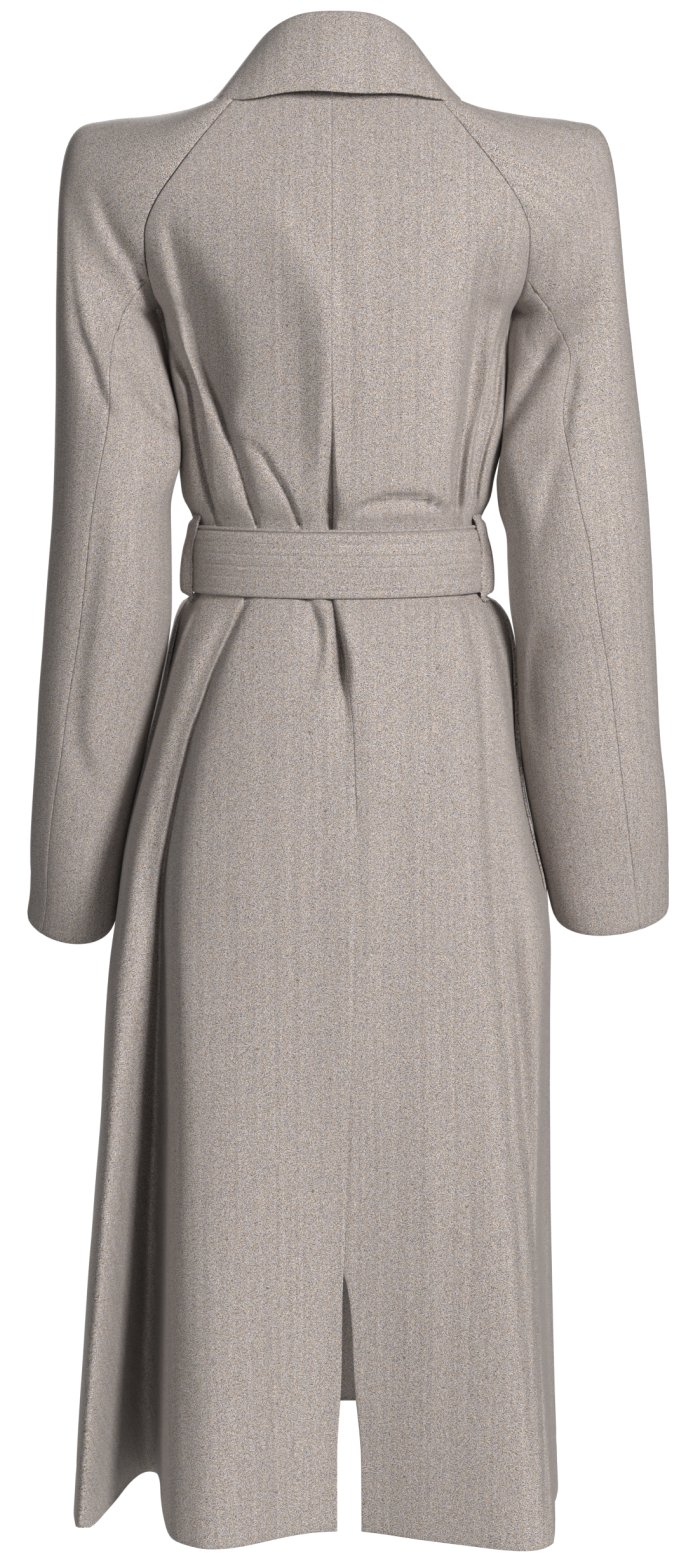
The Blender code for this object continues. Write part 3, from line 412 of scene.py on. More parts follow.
ARMHOLE_CREASES = [
    # left armhole to the waist
    crease(1.5, [
        (440, 206, 0, 6), (470, 232, 3, 7), (500, 250, 4, 7), (530, 263, 10, 8), (560, 277, 15, 9),
        (585, 289, 15, 8), (605, 297, 12, 6), (640, 304, 9, 6), (690, 311, 8, 5), (740, 321, 8, 5),
        (780, 331, 8, 5), (835, 348, 8, 5)]),
    # right armhole to the waist
    crease(-1.5, [
        (345, 912, 0, 14), (380, 893, 3, 16), (410, 878, 4, 16), (450, 850, 5, 14), (480, 822, 5, 11),
        (510, 801, 8, 10), (545, 791, 14, 10), (590, 784, 14, 9), (640, 778, 11, 7), (680, 768, 9, 6),
        (720, 758, 8, 5), (760, 750, 8, 5), (835, 746, 8, 5)]),
]
BACK_CREASES = ARMHOLE_CREASES + [
    # deep fold on the left
    crease(-1.5, [
        (335, 262, 0, 20), (375, 266, 5, 26), (405, 273, 9, 32), (450, 285, 14, 38), (495, 298, 18, 42),
        (555, 313, 23, 42), (600, 327, 24, 34), (640, 342, 18, 18), (665, 350, 11, 9), (730, 373, 6, 6),
        (780, 388, 6, 5), (835, 406, 7, 5)]),
    # arc inside it
    crease(0.3, [
        (680, 345, 0, 9), (692, 382, 2, 10), (706, 405, 4, 10), (740, 430, 6, 9), (780, 454, 7, 7),
        (835, 476, 8, 6)]),
    # rise beside the middle
    crease(0.5, [
        (290, 412, 0, 36), (330, 436, -3, 40), (370, 462, -7, 46), (430, 494, -12, 50), (480, 512, -17, 50),
        (540, 522, -20, 48), (600, 524, -21, 44), (680, 522, -18, 38), (740, 523, -12, 30),
        (790, 523, -4, 20), (815, 523, 0, 16)]),
    # trough below it
    crease(3.0, [
        (600, 524, 0, 8), (680, 523, 7, 10), (740, 523, 14, 13), (790, 523, 17, 14), (840, 522, 15, 11)]),
    # fold on the right
    crease(-2.5, [
        (330, 790, 0, 20), (400, 766, 9, 26), (450, 758, 17, 30), (500, 754, 23, 32), (550, 748, 26, 32),
        (600, 741, 26, 30), (650, 737, 21, 22), (680, 731, 15, 14), (720, 726, 12, 10), (760, 722, 11, 9),
        (835, 719, 11, 8)]),
    # arc over the belt
    crease(1.5, [
        (545, 808, 0, 8), (575, 796, 8, 11), (600, 788, 12, 13), (640, 783, 12, 13), (680, 790, 10, 11),
        (706, 804, 0, 8)], level=True),
    # the skirt: valley on the left, its upper line
    crease(-3.0, [
        (915, 398, 7, 6), (936, 389, 7, 6), (980, 370, 6, 6), (1020, 352, 6, 6), (1060, 335, 6, 6),
        (1110, 318, 7, 6), (1150, 303, 8, 7), (1200, 290, 9, 7), (1250, 278, 10, 7), (1300, 268, 11, 8),
        (1350, 259, 12, 8), (1400, 252, 12, 8), (1450, 248, 6, 8), (1500, 246, 0, 8)]),
    # valley on the left, beside the flap
    crease(-1.0, [
        (1330, 258, 0, 8), (1400, 253, 10, 9), (1450, 251, 18, 12), (1500, 249, 27, 17), (1600, 245, 36, 24),
        (1700, 240, 41, 29), (1800, 237, 43, 32), (1900, 232, 43, 34), (2000, 228, 43, 35),
        (2100, 224, 43, 36), (2200, 216, 38, 40), (2300, 206, 24, 44), (2400, 196, 8, 46)]),
    # the flap's broad face
    crease(0.0, [
        (1400, 232, 0, 28), (1500, 224, -9, 32), (1600, 212, -18, 38), (1700, 202, -24, 44),
        (1800, 194, -29, 48), (1900, 186, -32, 50), (2000, 180, -34, 50), (2100, 174, -34, 50),
        (2200, 165, -29, 48), (2300, 155, -19, 44), (2400, 146, -9, 42)]),
    # short tuck
    crease(3.5, [
        (915, 478, 8, 7), (938, 485, 8, 10), (960, 493, 8, 15), (985, 500, 7, 20), (1020, 502, 5, 22),
        (1060, 495, 3, 24), (1110, 487, 0, 24)]),
    # tuck beside the middle
    crease(5.0, [
        (915, 517, 9, 6), (936, 521, 9, 7), (960, 527, 10, 8), (990, 533, 13, 10), (1020, 538, 17, 13),
        (1050, 541, 20, 16), (1075, 541, 14, 17), (1100, 542, 7, 19), (1135, 546, 4, 24), (1190, 549, 2, 28),
        (1250, 551, 0, 28)]),
    # soft strip on the right
    crease(-1.5, [
        (915, 724, 5, 8), (960, 735, 7, 14), (1012, 747, 8, 20), (1100, 760, 9, 26), (1250, 770, 10, 30),
        (1400, 779, 11, 32), (1500, 786, 12, 32), (1650, 798, 13, 32), (1800, 808, 13, 32),
        (1950, 820, 13, 30), (2100, 832, 12, 28), (2250, 842, 8, 26), (2360, 850, 0, 24)]),
    # drop to the right side
    crease(-2.5, [
        (1360, 800, 0, 16), (1480, 806, 7, 22), (1600, 816, 13, 26), (1700, 824, 17, 26), (1800, 831, 20, 26),
        (1880, 838, 22, 24), (1980, 846, 24, 22), (2100, 852, 24, 20), (2200, 856, 20, 18),
        (2330, 861, 12, 16), (2400, 863, 5, 16)]),
    # shade beside the right sleeve
    crease(-2.0, [
        (925, 762, 12, 26), (960, 770, 20, 28), (1000, 783, 28, 30), (1050, 796, 32, 26), (1110, 805, 32, 20),
        (1180, 815, 32, 18), (1250, 828, 32, 18), (1320, 841, 32, 20), (1380, 852, 26, 20),
        (1430, 858, 10, 16), (1500, 862, 0, 12)]),
    # shade beside the left sleeve
    crease(2.0, [
        (925, 318, 8, 12), (960, 300, 18, 18), (1000, 281, 28, 20), (1050, 263, 32, 18), (1110, 247, 32, 16),
        (1200, 223, 32, 16), (1300, 198, 32, 18), (1380, 186, 26, 20), (1440, 177, 10, 14),
        (1500, 172, 0, 12)]),
]


def seen(point, face):
    """Where the camera, or one like it at the front (face -1), sees a point, in pixels."""
    x, y, z = point.x - CAMERA_PLACE[0], point.y * face - CAMERA_PLACE[1], point.z - CAMERA_PLACE[2]
    dip, along = math.cos(CAMERA_TILT), math.sin(CAMERA_TILT)     # shares of the view down and level
    far = -y * along - z * dip
    return (PICTURE[0] / 2 - PIXELS_PER_RADIAN * x / far,
            PICTURE[1] / 2 - PIXELS_PER_RADIAN * (z * along - y * dip) / far)


def crease_push(creases, point, face):
    """How far the creases press a point of the cloth in, and how far their rolls lift it."""
    across, down = seen(point, face)
    inward = outward = 0.0
    for fold in creases:
        place, aside = (across, down) if fold.level else (down, across)
        if fold.line.keys[0] < place < fold.line.keys[-1]:
            key = round(place * 4) / 4     # to a quarter of a pixel, so that a row is read only once
            row = fold.line.at(key)
            slope = fold.line.at(key + 1).aside - row.aside
            share = (aside - row.aside) / math.hypot(1, slope) / row.wide
            if (fold.roll < 0) != fold.level:
                share = -share
            if CREASE_REACH[0] < share < CREASE_REACH[1]:
                inward += row.deep * MM * math.exp(-(share / (STEEP if share > 0 else 1)) ** 2)
                rolled = (share - ROLL_AT) / (ROLL_NEAR if share < ROLL_AT else ROLL_FAR)
                outward += abs(fold.roll) * MM * row.deep / fold.deepest * math.exp(-rolled ** 2)
    return inward, outward


SEAM_DIP = 0.0004             # how far a pressed seam sinks
SEAM_HALF = 0.0009            # half the width of its line
SEAM_PAD = 0.00025            # the seam allowances behind it lift the cloth on both sides
PAD_AT = 0.009                # middle of such a lifted strip, and half its width
PAD_HALF = 0.006
HEM_FOLD = 0.040              # depth of the turned-up hem
HEM_ROLL = 0.0009             # how far the hem's folded edge rolls in, and over what height
HEM_ROLL_HIGH = 0.0022
HEM_MARK = 0.0003             # how far the cloth sinks at the fold's upper end, and over what height
HEM_MARK_HIGH = 0.004


def seam_line(distance):
    """The relief beside a pressed seam at a distance from it."""
    return (SEAM_PAD * math.exp(-((distance - PAD_AT) / PAD_HALF) ** 2)
            - SEAM_DIP * math.exp(-(distance / SEAM_HALF) ** 2))


def hem_line(distance):
    """The relief above a turned hem: the folded edge rolls in, and the fold's upper end just shows."""
    return (-HEM_ROLL * math.exp(-(distance / HEM_ROLL_HIGH) ** 2)
            - HEM_MARK * math.exp(-((distance - HEM_FOLD) / HEM_MARK_HIGH) ** 2))


# The cloth's wavering: its height in metres, waves a metre across and down, and where it starts.
Waver = namedtuple("Waver", "high across down start")
WAVERS = (Waver(0.0011, 11, 4, 0), Waver(0.00045, 34, 15, 7))


def unevenness(point):
    """The small wavering of worn cloth, longer down than across."""
    return sum(waver.high * noise.noise(Vector((point.x * waver.across, point.y * waver.across,
                                                point.z * waver.down + waver.start))) for waver in WAVERS)


# Distances from a piece's edge to its first columns or rows, which draw its seam or fold.
EDGE_STEPS = (0.0, 0.0009, 0.0019, 0.0034, 0.0058)
FAR_CROWD = 0.7               # how strongly columns crowd on a place's far side, against its near side


def spread(width, columns, focus=0.5, crowd=0.0):
    """Places from 0 to 1 across a piece: close beside both edges, and crowded round one place."""
    start = [step / width for step in EDGE_STEPS]
    low, high = start[-1], 1 - start[-1]
    between = columns - 2 * len(start) + 1
    first = round(between / 2)
    middle = [focus * (s + crowd * s * (1 - s)) for s in steps(0, 1, first)][1:]
    middle += [focus + (1 - focus) * (s - crowd * FAR_CROWD * s * (1 - s))
               for s in steps(0, 1, between - first)][1:]
    return start + [low + (high - low) * s for s in middle[:-1]] + [1 - s for s in reversed(start)]


def crepe_piece(name, mesh):
    """An object of the crepe from a finished mesh."""
    data = bpy.data.meshes.new(name)
    mesh.to_mesh(data)
    mesh.free()
    data.shade_smooth()
    data.materials.append(crepe)
    piece = bpy.data.objects.new(name, data)
    bpy.context.scene.collection.objects.link(piece)
    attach(piece, "root")
    return piece


CUT_STEP = 1.7                # metres along the cloth, for each object made so far, to a piece's own cut


def cloth_from(name, points, outward, turned=False, thick=CLOTH, plain=None, straight=0, level=0):
    """A piece of cloth through rows of points, with its thickness inwards. Its UV map is in metres,
    measured on the plain form from the column and the row where the grain runs straight. Where it is
    turned, the grain runs across the rows."""
    rows, columns = len(points), len(points[0])
    plain = plain or points
    sign = 1 if outward.x > 0 else -1
    mesh = bmesh.new()
    bmesh.ops.create_grid(mesh, x_segments=columns - 1, y_segments=rows - 1, size=1)
    mesh.verts.ensure_lookup_table()
    for index, vert in enumerate(mesh.verts):
        vert.co = points[index // columns][index % columns]
    mesh.normal_update()
    mesh.faces.ensure_lookup_table()
    if mesh.faces[len(mesh.faces) // 2].normal.dot(outward) < 0:
        bmesh.ops.reverse_faces(mesh, faces=mesh.faces)
    across = [[0.0] * columns for row in points]
    down = [[0.0] * columns for row in points]
    for i in range(rows):
        across[i][straight] = 0 if turned or straight else plain[i][0].x * sign
        for j in range(straight + 1, columns):
            across[i][j] = across[i][j - 1] + (plain[i][j] - plain[i][j - 1]).length
        for j in range(straight - 1, -1, -1):
            across[i][j] = across[i][j + 1] - (plain[i][j] - plain[i][j + 1]).length
        if i:
            down[i] = [above + (a - b).length for above, a, b in zip(down[i - 1], plain[i], plain[i - 1])]
    down = [[place - start for place, start in zip(row, down[level])] for row in down]
    grain = mesh.loops.layers.uv.new("grain")
    cut_from = CUT_STEP * len(bpy.data.objects)
    for face in mesh.faces:
        for loop in face.loops:
            i, j = divmod(loop.vert.index, columns)
            place = (across[i][j] * sign + cut_from, down[i][j] + cut_from)
            loop[grain].uv = place[::-1] if turned else place
    piece = crepe_piece(name, mesh)
    if thick:
        wall = piece.modifiers.new("cloth thickness", "SOLIDIFY")
        wall.thickness, wall.offset = thick, -1
    return piece


# Greige wool crepe, woven from light and dark melange yarns that twist into short worm-like strokes.
# It is matt with a soft nap, and shows rusty and green flecks, faint stripes and a few brown slubs.
# Single yarns are too fine to show, so a stroke stands for about two of them.
STROKE = 1.05                 # mm from one light stroke to the next
STROKE_LENGTH = 2.5           # mm
BENDS_PER_MM = 0.9            # how often a stroke's line wavers
FIBRES_PER_MM = 0.8           # clumps of fibres between the strokes
FLECK_SPACING = 6.0           # mm
SLUB_SPACING = 95.0           # mm
STRIPES_PER_METRE = (260, 2.5, 1)     # a stripe is about 4 mm wide and runs on for about 0.4 m
NAP = 0.00015                 # height of the yarns
WAVE = math.tau / 20          # scale at which the wave node draws one band for each unit
crepe = bpy.data.materials.new("greige wool crepe")
crepe.use_nodes = True
crepe_shader = crepe.node_tree.nodes["Principled BSDF"]
grain_map = add(crepe, "ShaderNodeUVMap", uv_map="grain")
millimetres = add(crepe, "ShaderNodeMapping", {"Vector": grain_map.outputs[0], "Scale": (1000, 1000, 1000)})
cells = add(crepe, "ShaderNodeTexVoronoi", {"Vector": millimetres.outputs[0], "Scale": 1 / STROKE_LENGTH},
            voronoi_dimensions="2D")
cell_value = add(crepe, "ShaderNodeSeparateColor", {"Color": cells.outputs["Color"]})
turn = add(crepe, "ShaderNodeMapRange", {"Value": cell_value.outputs[0], "To Min": -1.5, "To Max": 1.5})
wobble = add(crepe, "ShaderNodeTexNoise", {"Vector": millimetres.outputs[0], "Scale": BENDS_PER_MM,
                                           "Detail": 1.0}, noise_dimensions="2D")
bent = add(crepe, "ShaderNodeMixRGB", {"Fac": 1.0, "Color1": millimetres.outputs[0],
                                       "Color2": wobble.outputs["Color"]}, blend_type="ADD")
turned_yarn = add(crepe, "ShaderNodeVectorRotate", {"Vector": bent.outputs[0], "Angle": turn.outputs[0]},
                  rotation_type="Z_AXIS")
strokes = add(crepe, "ShaderNodeTexWave", {"Vector": turned_yarn.outputs[0], "Scale": WAVE / STROKE,
                                           "Distortion": 5.0, "Detail": 2.0, "Detail Scale": 1.6},
              bands_direction="Y")
fibres = add(crepe, "ShaderNodeTexNoise", {"Vector": millimetres.outputs[0], "Scale": FIBRES_PER_MM,
                                           "Detail": 3.0}, noise_dimensions="2D")
tangled = add(crepe, "ShaderNodeMix", {"Factor": 0.5, 2: strokes.outputs["Fac"], 3: fibres.outputs["Fac"]})
yarn = add(crepe, "ShaderNodeMapRange", {"Value": tangled.outputs[0], "From Min": 0.28, "From Max": 0.71})
yarn_dark = add(crepe, "ShaderNodeMix", {"Factor": cell_value.outputs[1], 6: hex_colour("#5f5047"),
                                         7: hex_colour("#525155")}, data_type="RGBA")
yarn_light = add(crepe, "ShaderNodeMix", {"Factor": cell_value.outputs[2], 6: hex_colour("#d2c5bb"),
                                          7: hex_colour("#c9c2c1")}, data_type="RGBA")
yarn_colour = add(crepe, "ShaderNodeMix", {"Factor": yarn.outputs[0], 6: yarn_dark.outputs[2],
                                           7: yarn_light.outputs[2]}, data_type="RGBA")
flecks = add(crepe, "ShaderNodeTexVoronoi", {"Vector": millimetres.outputs[0], "Scale": 1 / FLECK_SPACING},
             voronoi_dimensions="2D")
fleck_value = add(crepe, "ShaderNodeSeparateColor", {"Color": flecks.outputs["Color"]})
fleck_hue = add(crepe, "ShaderNodeMix", {"Factor": fleck_value.outputs[1], 6: hex_colour("#a5744f"),
                                         7: hex_colour("#9a965f")}, data_type="RGBA")
fleck_mask = add(crepe, "ShaderNodeMapRange", {"Value": flecks.outputs["Distance"], "From Min": 0.18,
                                               "From Max": 0.08, "To Max": 0.55})
flecked = add(crepe, "ShaderNodeMix", {"Factor": fleck_mask.outputs[0], 6: yarn_colour.outputs[2],
                                       7: fleck_hue.outputs[2]}, data_type="RGBA")
slubs = add(crepe, "ShaderNodeTexVoronoi", {"Vector": millimetres.outputs[0], "Scale": 1 / SLUB_SPACING},
            voronoi_dimensions="2D")
slub_mask = add(crepe, "ShaderNodeMapRange", {"Value": slubs.outputs["Distance"], "From Min": 0.016,
                                              "From Max": 0.008, "To Max": 0.6})
slubbed = add(crepe, "ShaderNodeMix", {"Factor": slub_mask.outputs[0], 6: flecked.outputs[2],
                                       7: hex_colour("#5a4335")}, data_type="RGBA")
stripe_place = add(crepe, "ShaderNodeMapping", {"Vector": grain_map.outputs[0], "Scale": STRIPES_PER_METRE})
stripes = add(crepe, "ShaderNodeTexNoise", {"Vector": stripe_place.outputs[0], "Scale": 1.0, "Detail": 2.0},
              noise_dimensions="2D")
stripe_tone = add(crepe, "ShaderNodeMapRange", {"Value": stripes.outputs["Fac"], "From Min": 0.3,
                                                "From Max": 0.7, "To Min": 0.92, "To Max": 1.055})
toned = add(crepe, "ShaderNodeMixRGB", {"Fac": 1.0, "Color1": slubbed.outputs[2],
                                        "Color2": stripe_tone.outputs[0]}, blend_type="MULTIPLY")
nap = add(crepe, "ShaderNodeBump", {"Height": yarn.outputs[0], "Strength": 0.30, "Distance": NAP})
crepe.node_tree.links.new(toned.outputs[0], crepe_shader.inputs["Base Color"])
crepe.node_tree.links.new(nap.outputs[0], crepe_shader.inputs["Normal"])
for socket, value in (("Roughness", 0.88), ("Specular IOR Level", 0.25), ("Sheen Weight", 0.12),
                      ("Sheen Roughness", 0.45)):
    crepe_shader.inputs[socket].default_value = value


RAGLAN_ROWS = 44              # rows down a panel along the raglan line,
BODICE_ROWS = 42              # down to the belt,
BELT_ROWS = 10                # behind it,
HIP_ROWS = 42                 # down to the vent,
SKIRT_ROWS = 130              # and down to the hem,
HEM_CLEAR = 0.010             # where the close rows at the hem take over


def panel_rows():
    """Row values down a panel: 0 to 1 on the raglan line, then heights, close together at the hem."""
    heights = steps(ARMPIT, GRIP_TOP, BODICE_ROWS)[1:] + steps(GRIP_TOP, GRIP_BOTTOM, BELT_ROWS)[1:]
    heights += steps(GRIP_BOTTOM, VENT_TOP, HIP_ROWS)[1:] + steps(VENT_TOP, HEM + HEM_CLEAR, SKIRT_ROWS)[1:]
    heights += [HEM + step for step in reversed(EDGE_STEPS)]
    return [("t", t) for t in steps(0, 1, RAGLAN_ROWS)] + [("z", z) for z in heights]


SWELL = 0.009                 # how far the skirt stands out in front of a hanging sleeve
SWELL_AT = 108                # degrees round from the back's middle, to both sides
SWELL_HALF = 12               # degrees
SWELL_TOP = (-0.4035, -0.4150)     # heights where it begins and is full
SWELL_END = (-0.700, -0.655)       # and where it has died away and is still full
SWELL_CALM = 90               # how much calmer the cloth lies for each metre that it is swollen


def swell(angle, z):
    """How far the skirt stands out in front of a hanging sleeve, so that no gap shows between them."""
    turned = (abs(math.degrees(angle) % 360 - 180) - (180 - SWELL_AT)) / SWELL_HALF
    return SWELL * math.exp(-turned ** 2) * ramp(z, *SWELL_TOP) * ramp(z, *SWELL_END)


CROWD = 0.72                  # how strongly a back half's columns crowd round its deep folds
HELD_TROUGH = 0.75            # share of a trough's depth that is left where the belt grips the cloth
FACING = (0.04, 0.17)         # how far the cloth faces back or front where its creases begin and are full
FREE_EDGE = 0.0007            # how far a free edge rolls in, and over what width
FREE_EDGE_WIDE = 0.0016


def panel(name, side, face, columns, edge, tuck, creases):
    """A back (face 1) or front (face -1) panel on one side, from its middle edge to its side seam. Edge
    says where the middle edge runs, and tuck how far the panel passes in under another."""
    points, plain_points = [], []
    for kind, value in panel_rows():
        if kind == "t":
            row = RAGLAN.at(value)
            seam_angle, seam_z = angle_at(side * row.x, row.z, face), row.z
            edge_x, edge_z = edge(value, None)
        else:
            seam_angle, seam_z = side * math.pi / 2, value
            edge_x, edge_z = edge(None, value)
        edge_angle = angle_at(edge_x, edge_z, face)
        if face < 0:
            edge_angle = wrapped(edge_angle, side)
        reach = radius(seam_angle, seam_z)
        seam_angle -= side * face * SEAM / 2 / reach
        edge_angle += side * face * SEAM / 2 / reach
        width = abs(seam_angle - edge_angle) * (radius(edge_angle, edge_z) + reach) / 2
        place, crowd = 0.5, 0.0
        if face > 0:
            focus = FOCUS.at(seam_z)
            place, crowd = focus.left if side > 0 else focus.right, CROWD
        points.append([])
        plain_points.append([])
        for share in spread(width, columns, place, crowd):
            angle = edge_angle + (seam_angle - edge_angle) * share
            z = edge_z + (seam_z - edge_z) * share
            plain = body(angle, z)
            inward, outward = crease_push(creases, plain, face)
            loose = grip(z)
            push = (outward * loose - inward * max(loose, HELD_TROUGH)) * ramp(abs(math.cos(angle)), *FACING)
            swollen = swell(angle, z)
            out = unevenness(plain) * loose * (1 - SWELL_CALM * swollen) - tuck(angle, z) + swollen
            out += seam_line(width * (1 - share)) + hem_line(z - HEM)
            if face > 0 and z > VENT_TOP:
                out += seam_line(width * share)
            else:
                out -= FREE_EDGE * math.exp(-(width * share / FREE_EDGE_WIDE) ** 2)
            points[-1].append(body(angle, z, out) + Vector((0, face * push, 0)))
            plain_points[-1].append(plain)
    return cloth_from(name, points, Vector((side * 0.3, face, 0)), plain=plain_points)


def back_edge(side):
    """Where a back half's middle edge runs."""
    def place(t, z):
        height = RAGLAN.at(t).back_z if z is None else z
        row = BACK_EDGE.at(height)
        return (row.left if side > 0 else row.right), height
    return place


VENT_EASE = (0.40, 0.20)      # radians before the lapping edge where the tuck begins and is full
VENT_RISE = 0.045             # height over the vent's top where it begins


def under_vent(angle, z):
    """How far the right back half passes in under the left half's vent edge."""
    lap_edge = angle_at(BACK_EDGE.at(z).left, z, 1)
    ease = ramp(angle, lap_edge - VENT_EASE[0], lap_edge - VENT_EASE[1])
    return (WALL + WRAP_GAP) * ease * ramp(z, VENT_TOP + VENT_RISE, VENT_TOP)


def flat(angle, z):
    """A panel that passes under no other."""
    return 0.0


BACK_COLUMNS = 150

for name, side, tuck, flat_size, area in (
    ("back_left", 1, flat, (0.50, 1.20), 0.43),
    ("back_right", -1, under_vent, (0.42, 1.20), 0.33),
):
    back = panel("cloth_" + name, side, 1, BACK_COLUMNS, back_edge(side), tuck, BACK_CREASES)
    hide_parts(name)


# The fronts: two panels of the same crepe that wrap over each other, the wearer's right over the left,
# and open above in a V. Their edges are folded. The photograph hides them, so their drag lines and
# skirt folds are like the back's, and as uneven.
FRONT_EDGE = Table("z x", [
    (ARMPIT, 0.018), (-0.215, -0.012), (-0.260, -0.040), (-0.300, -0.062), (BELT_TOP, -0.078),
    (BELT_BOTTOM, -0.085), (-0.700, -0.092), (HEM, -0.098),
])
FRONT_CREASES = [
    # left armhole drag
    crease(3.0, [
        (430, 262, 0, 9), (500, 286, 4, 9), (570, 318, 7, 8), (640, 352, 7, 7), (720, 386, 6, 6),
        (835, 418, 6, 5)]),
    # left waist fold
    crease(-2.5, [
        (560, 420, 0, 10), (640, 436, 4, 10), (720, 452, 6, 8), (780, 462, 7, 6), (835, 470, 7, 5)]),
    # right armhole drag
    crease(-3.5, [
        (400, 800, 0, 12), (470, 778, 5, 12), (540, 758, 8, 11), (620, 734, 8, 9), (700, 706, 6, 7),
        (835, 668, 6, 5)]),
    # right waist fold
    crease(-2.0, [
        (600, 640, 0, 10), (690, 624, 5, 9), (770, 610, 6, 6), (835, 604, 6, 5)]),
    # fold in the wrap
    crease(2.0, [(700, 556, 0, 8), (760, 549, 4, 7), (835, 545, 6, 5)]),
    # left skirt fold
    crease(-3.0, [
        (915, 420, 6, 6), (960, 402, 6, 8), (1040, 378, 5, 10), (1160, 350, 5, 14), (1400, 318, 6, 20),
        (1800, 286, 8, 26), (2200, 262, 7, 30), (2420, 252, 3, 30)]),
    # left side fold
    crease(2.0, [
        (915, 352, 5, 6), (970, 330, 4, 9), (1080, 296, 3, 12), (1250, 262, 0, 14)]),
    # right skirt fold
    crease(3.0, [
        (915, 668, 6, 6), (965, 684, 6, 8), (1050, 706, 5, 11), (1200, 734, 5, 16), (1500, 764, 7, 22),
        (1900, 790, 8, 28), (2250, 806, 6, 30), (2420, 812, 3, 30)]),
    # right tuck
    crease(-2.0, [(915, 606, 6, 5), (950, 612, 5, 8), (1010, 620, 3, 12), (1100, 628, 0, 14)]),
    # short tuck by the wrap
    crease(1.5, [(915, 500, 5, 5), (945, 504, 4, 8), (1000, 510, 0, 12)]),
]


def wrapped(angle, side):
    """A front angle counted on past the middle of the front, so that a wrap stays in order."""
    if side > 0:
        return angle if angle > 0 else angle + 2 * math.pi
    return angle if angle < 0 else angle - 2 * math.pi


def front_edge(side):
    """Where a front's free edge runs: down the neck opening, then across the other front."""
    def place(t, z):
        if z is None:
            row = RAGLAN.at(t)
            return side * row.edge_x, row.edge_z
        return side * FRONT_EDGE.at(z).x, z
    return place


WRAP_EASE = (0.60, 0.22)      # radians before the upper front's edge where the tuck begins and is full
WRAP_RISE = 0.03              # height over the armpit where it begins


def under_wrap(angle, z):
    """How far the left front passes in under the right front."""
    top_edge = wrapped(angle_at(-FRONT_EDGE.at(min(z, ARMPIT)).x, z, -1), 1)
    ease = ramp(angle, top_edge - WRAP_EASE[0], top_edge - WRAP_EASE[1])
    return (WALL + WRAP_GAP) * ease * ramp(z, ARMPIT + WRAP_RISE, ARMPIT)


FRONT_COLUMNS = 76

for name, side, tuck in (("front_left", 1, under_wrap), ("front_right", -1, flat)):
    front = panel("cloth_" + name, side, -1, FRONT_COLUMNS, front_edge(side), tuck, FRONT_CREASES)
    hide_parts(name)


# The sleeves: raglan sleeves in two pieces each, with padding that squares the shoulders and a seam
# down the back. Each hangs with soft drag lines from the armhole and a crease at the elbow.
ARMPIT_PINCH = math.radians(30)   # how far the ring's inner side leans outwards at the armpit
PINCH_HIGH = 0.100            # height below the armpit over which that dies away
ARMPIT_BLEND = 0.16           # how far up and down the shoulder and the arm blend into each other
BLEND_HALF = 0.28             # how far from the armpit that dies away, where the arm's length is 1
BLEND_FROM = 0.25             # share of the half ring beside its inner side over which it sets in
BLEND_SHARES = ((-1, 0.1), (-0.5, 0.25), (0, 0.3), (0.5, 0.25), (1, 0.1))     # rings, and their weights
CUFF_SKEW = 0.35              # how far the cuff's lowest point leans towards the inner side
CUFF_SKEW_FROM = (-0.560, -0.680)     # heights where that begins and is full
GUSSET = 0.80                 # place on the raglan line where the under sleeve begins

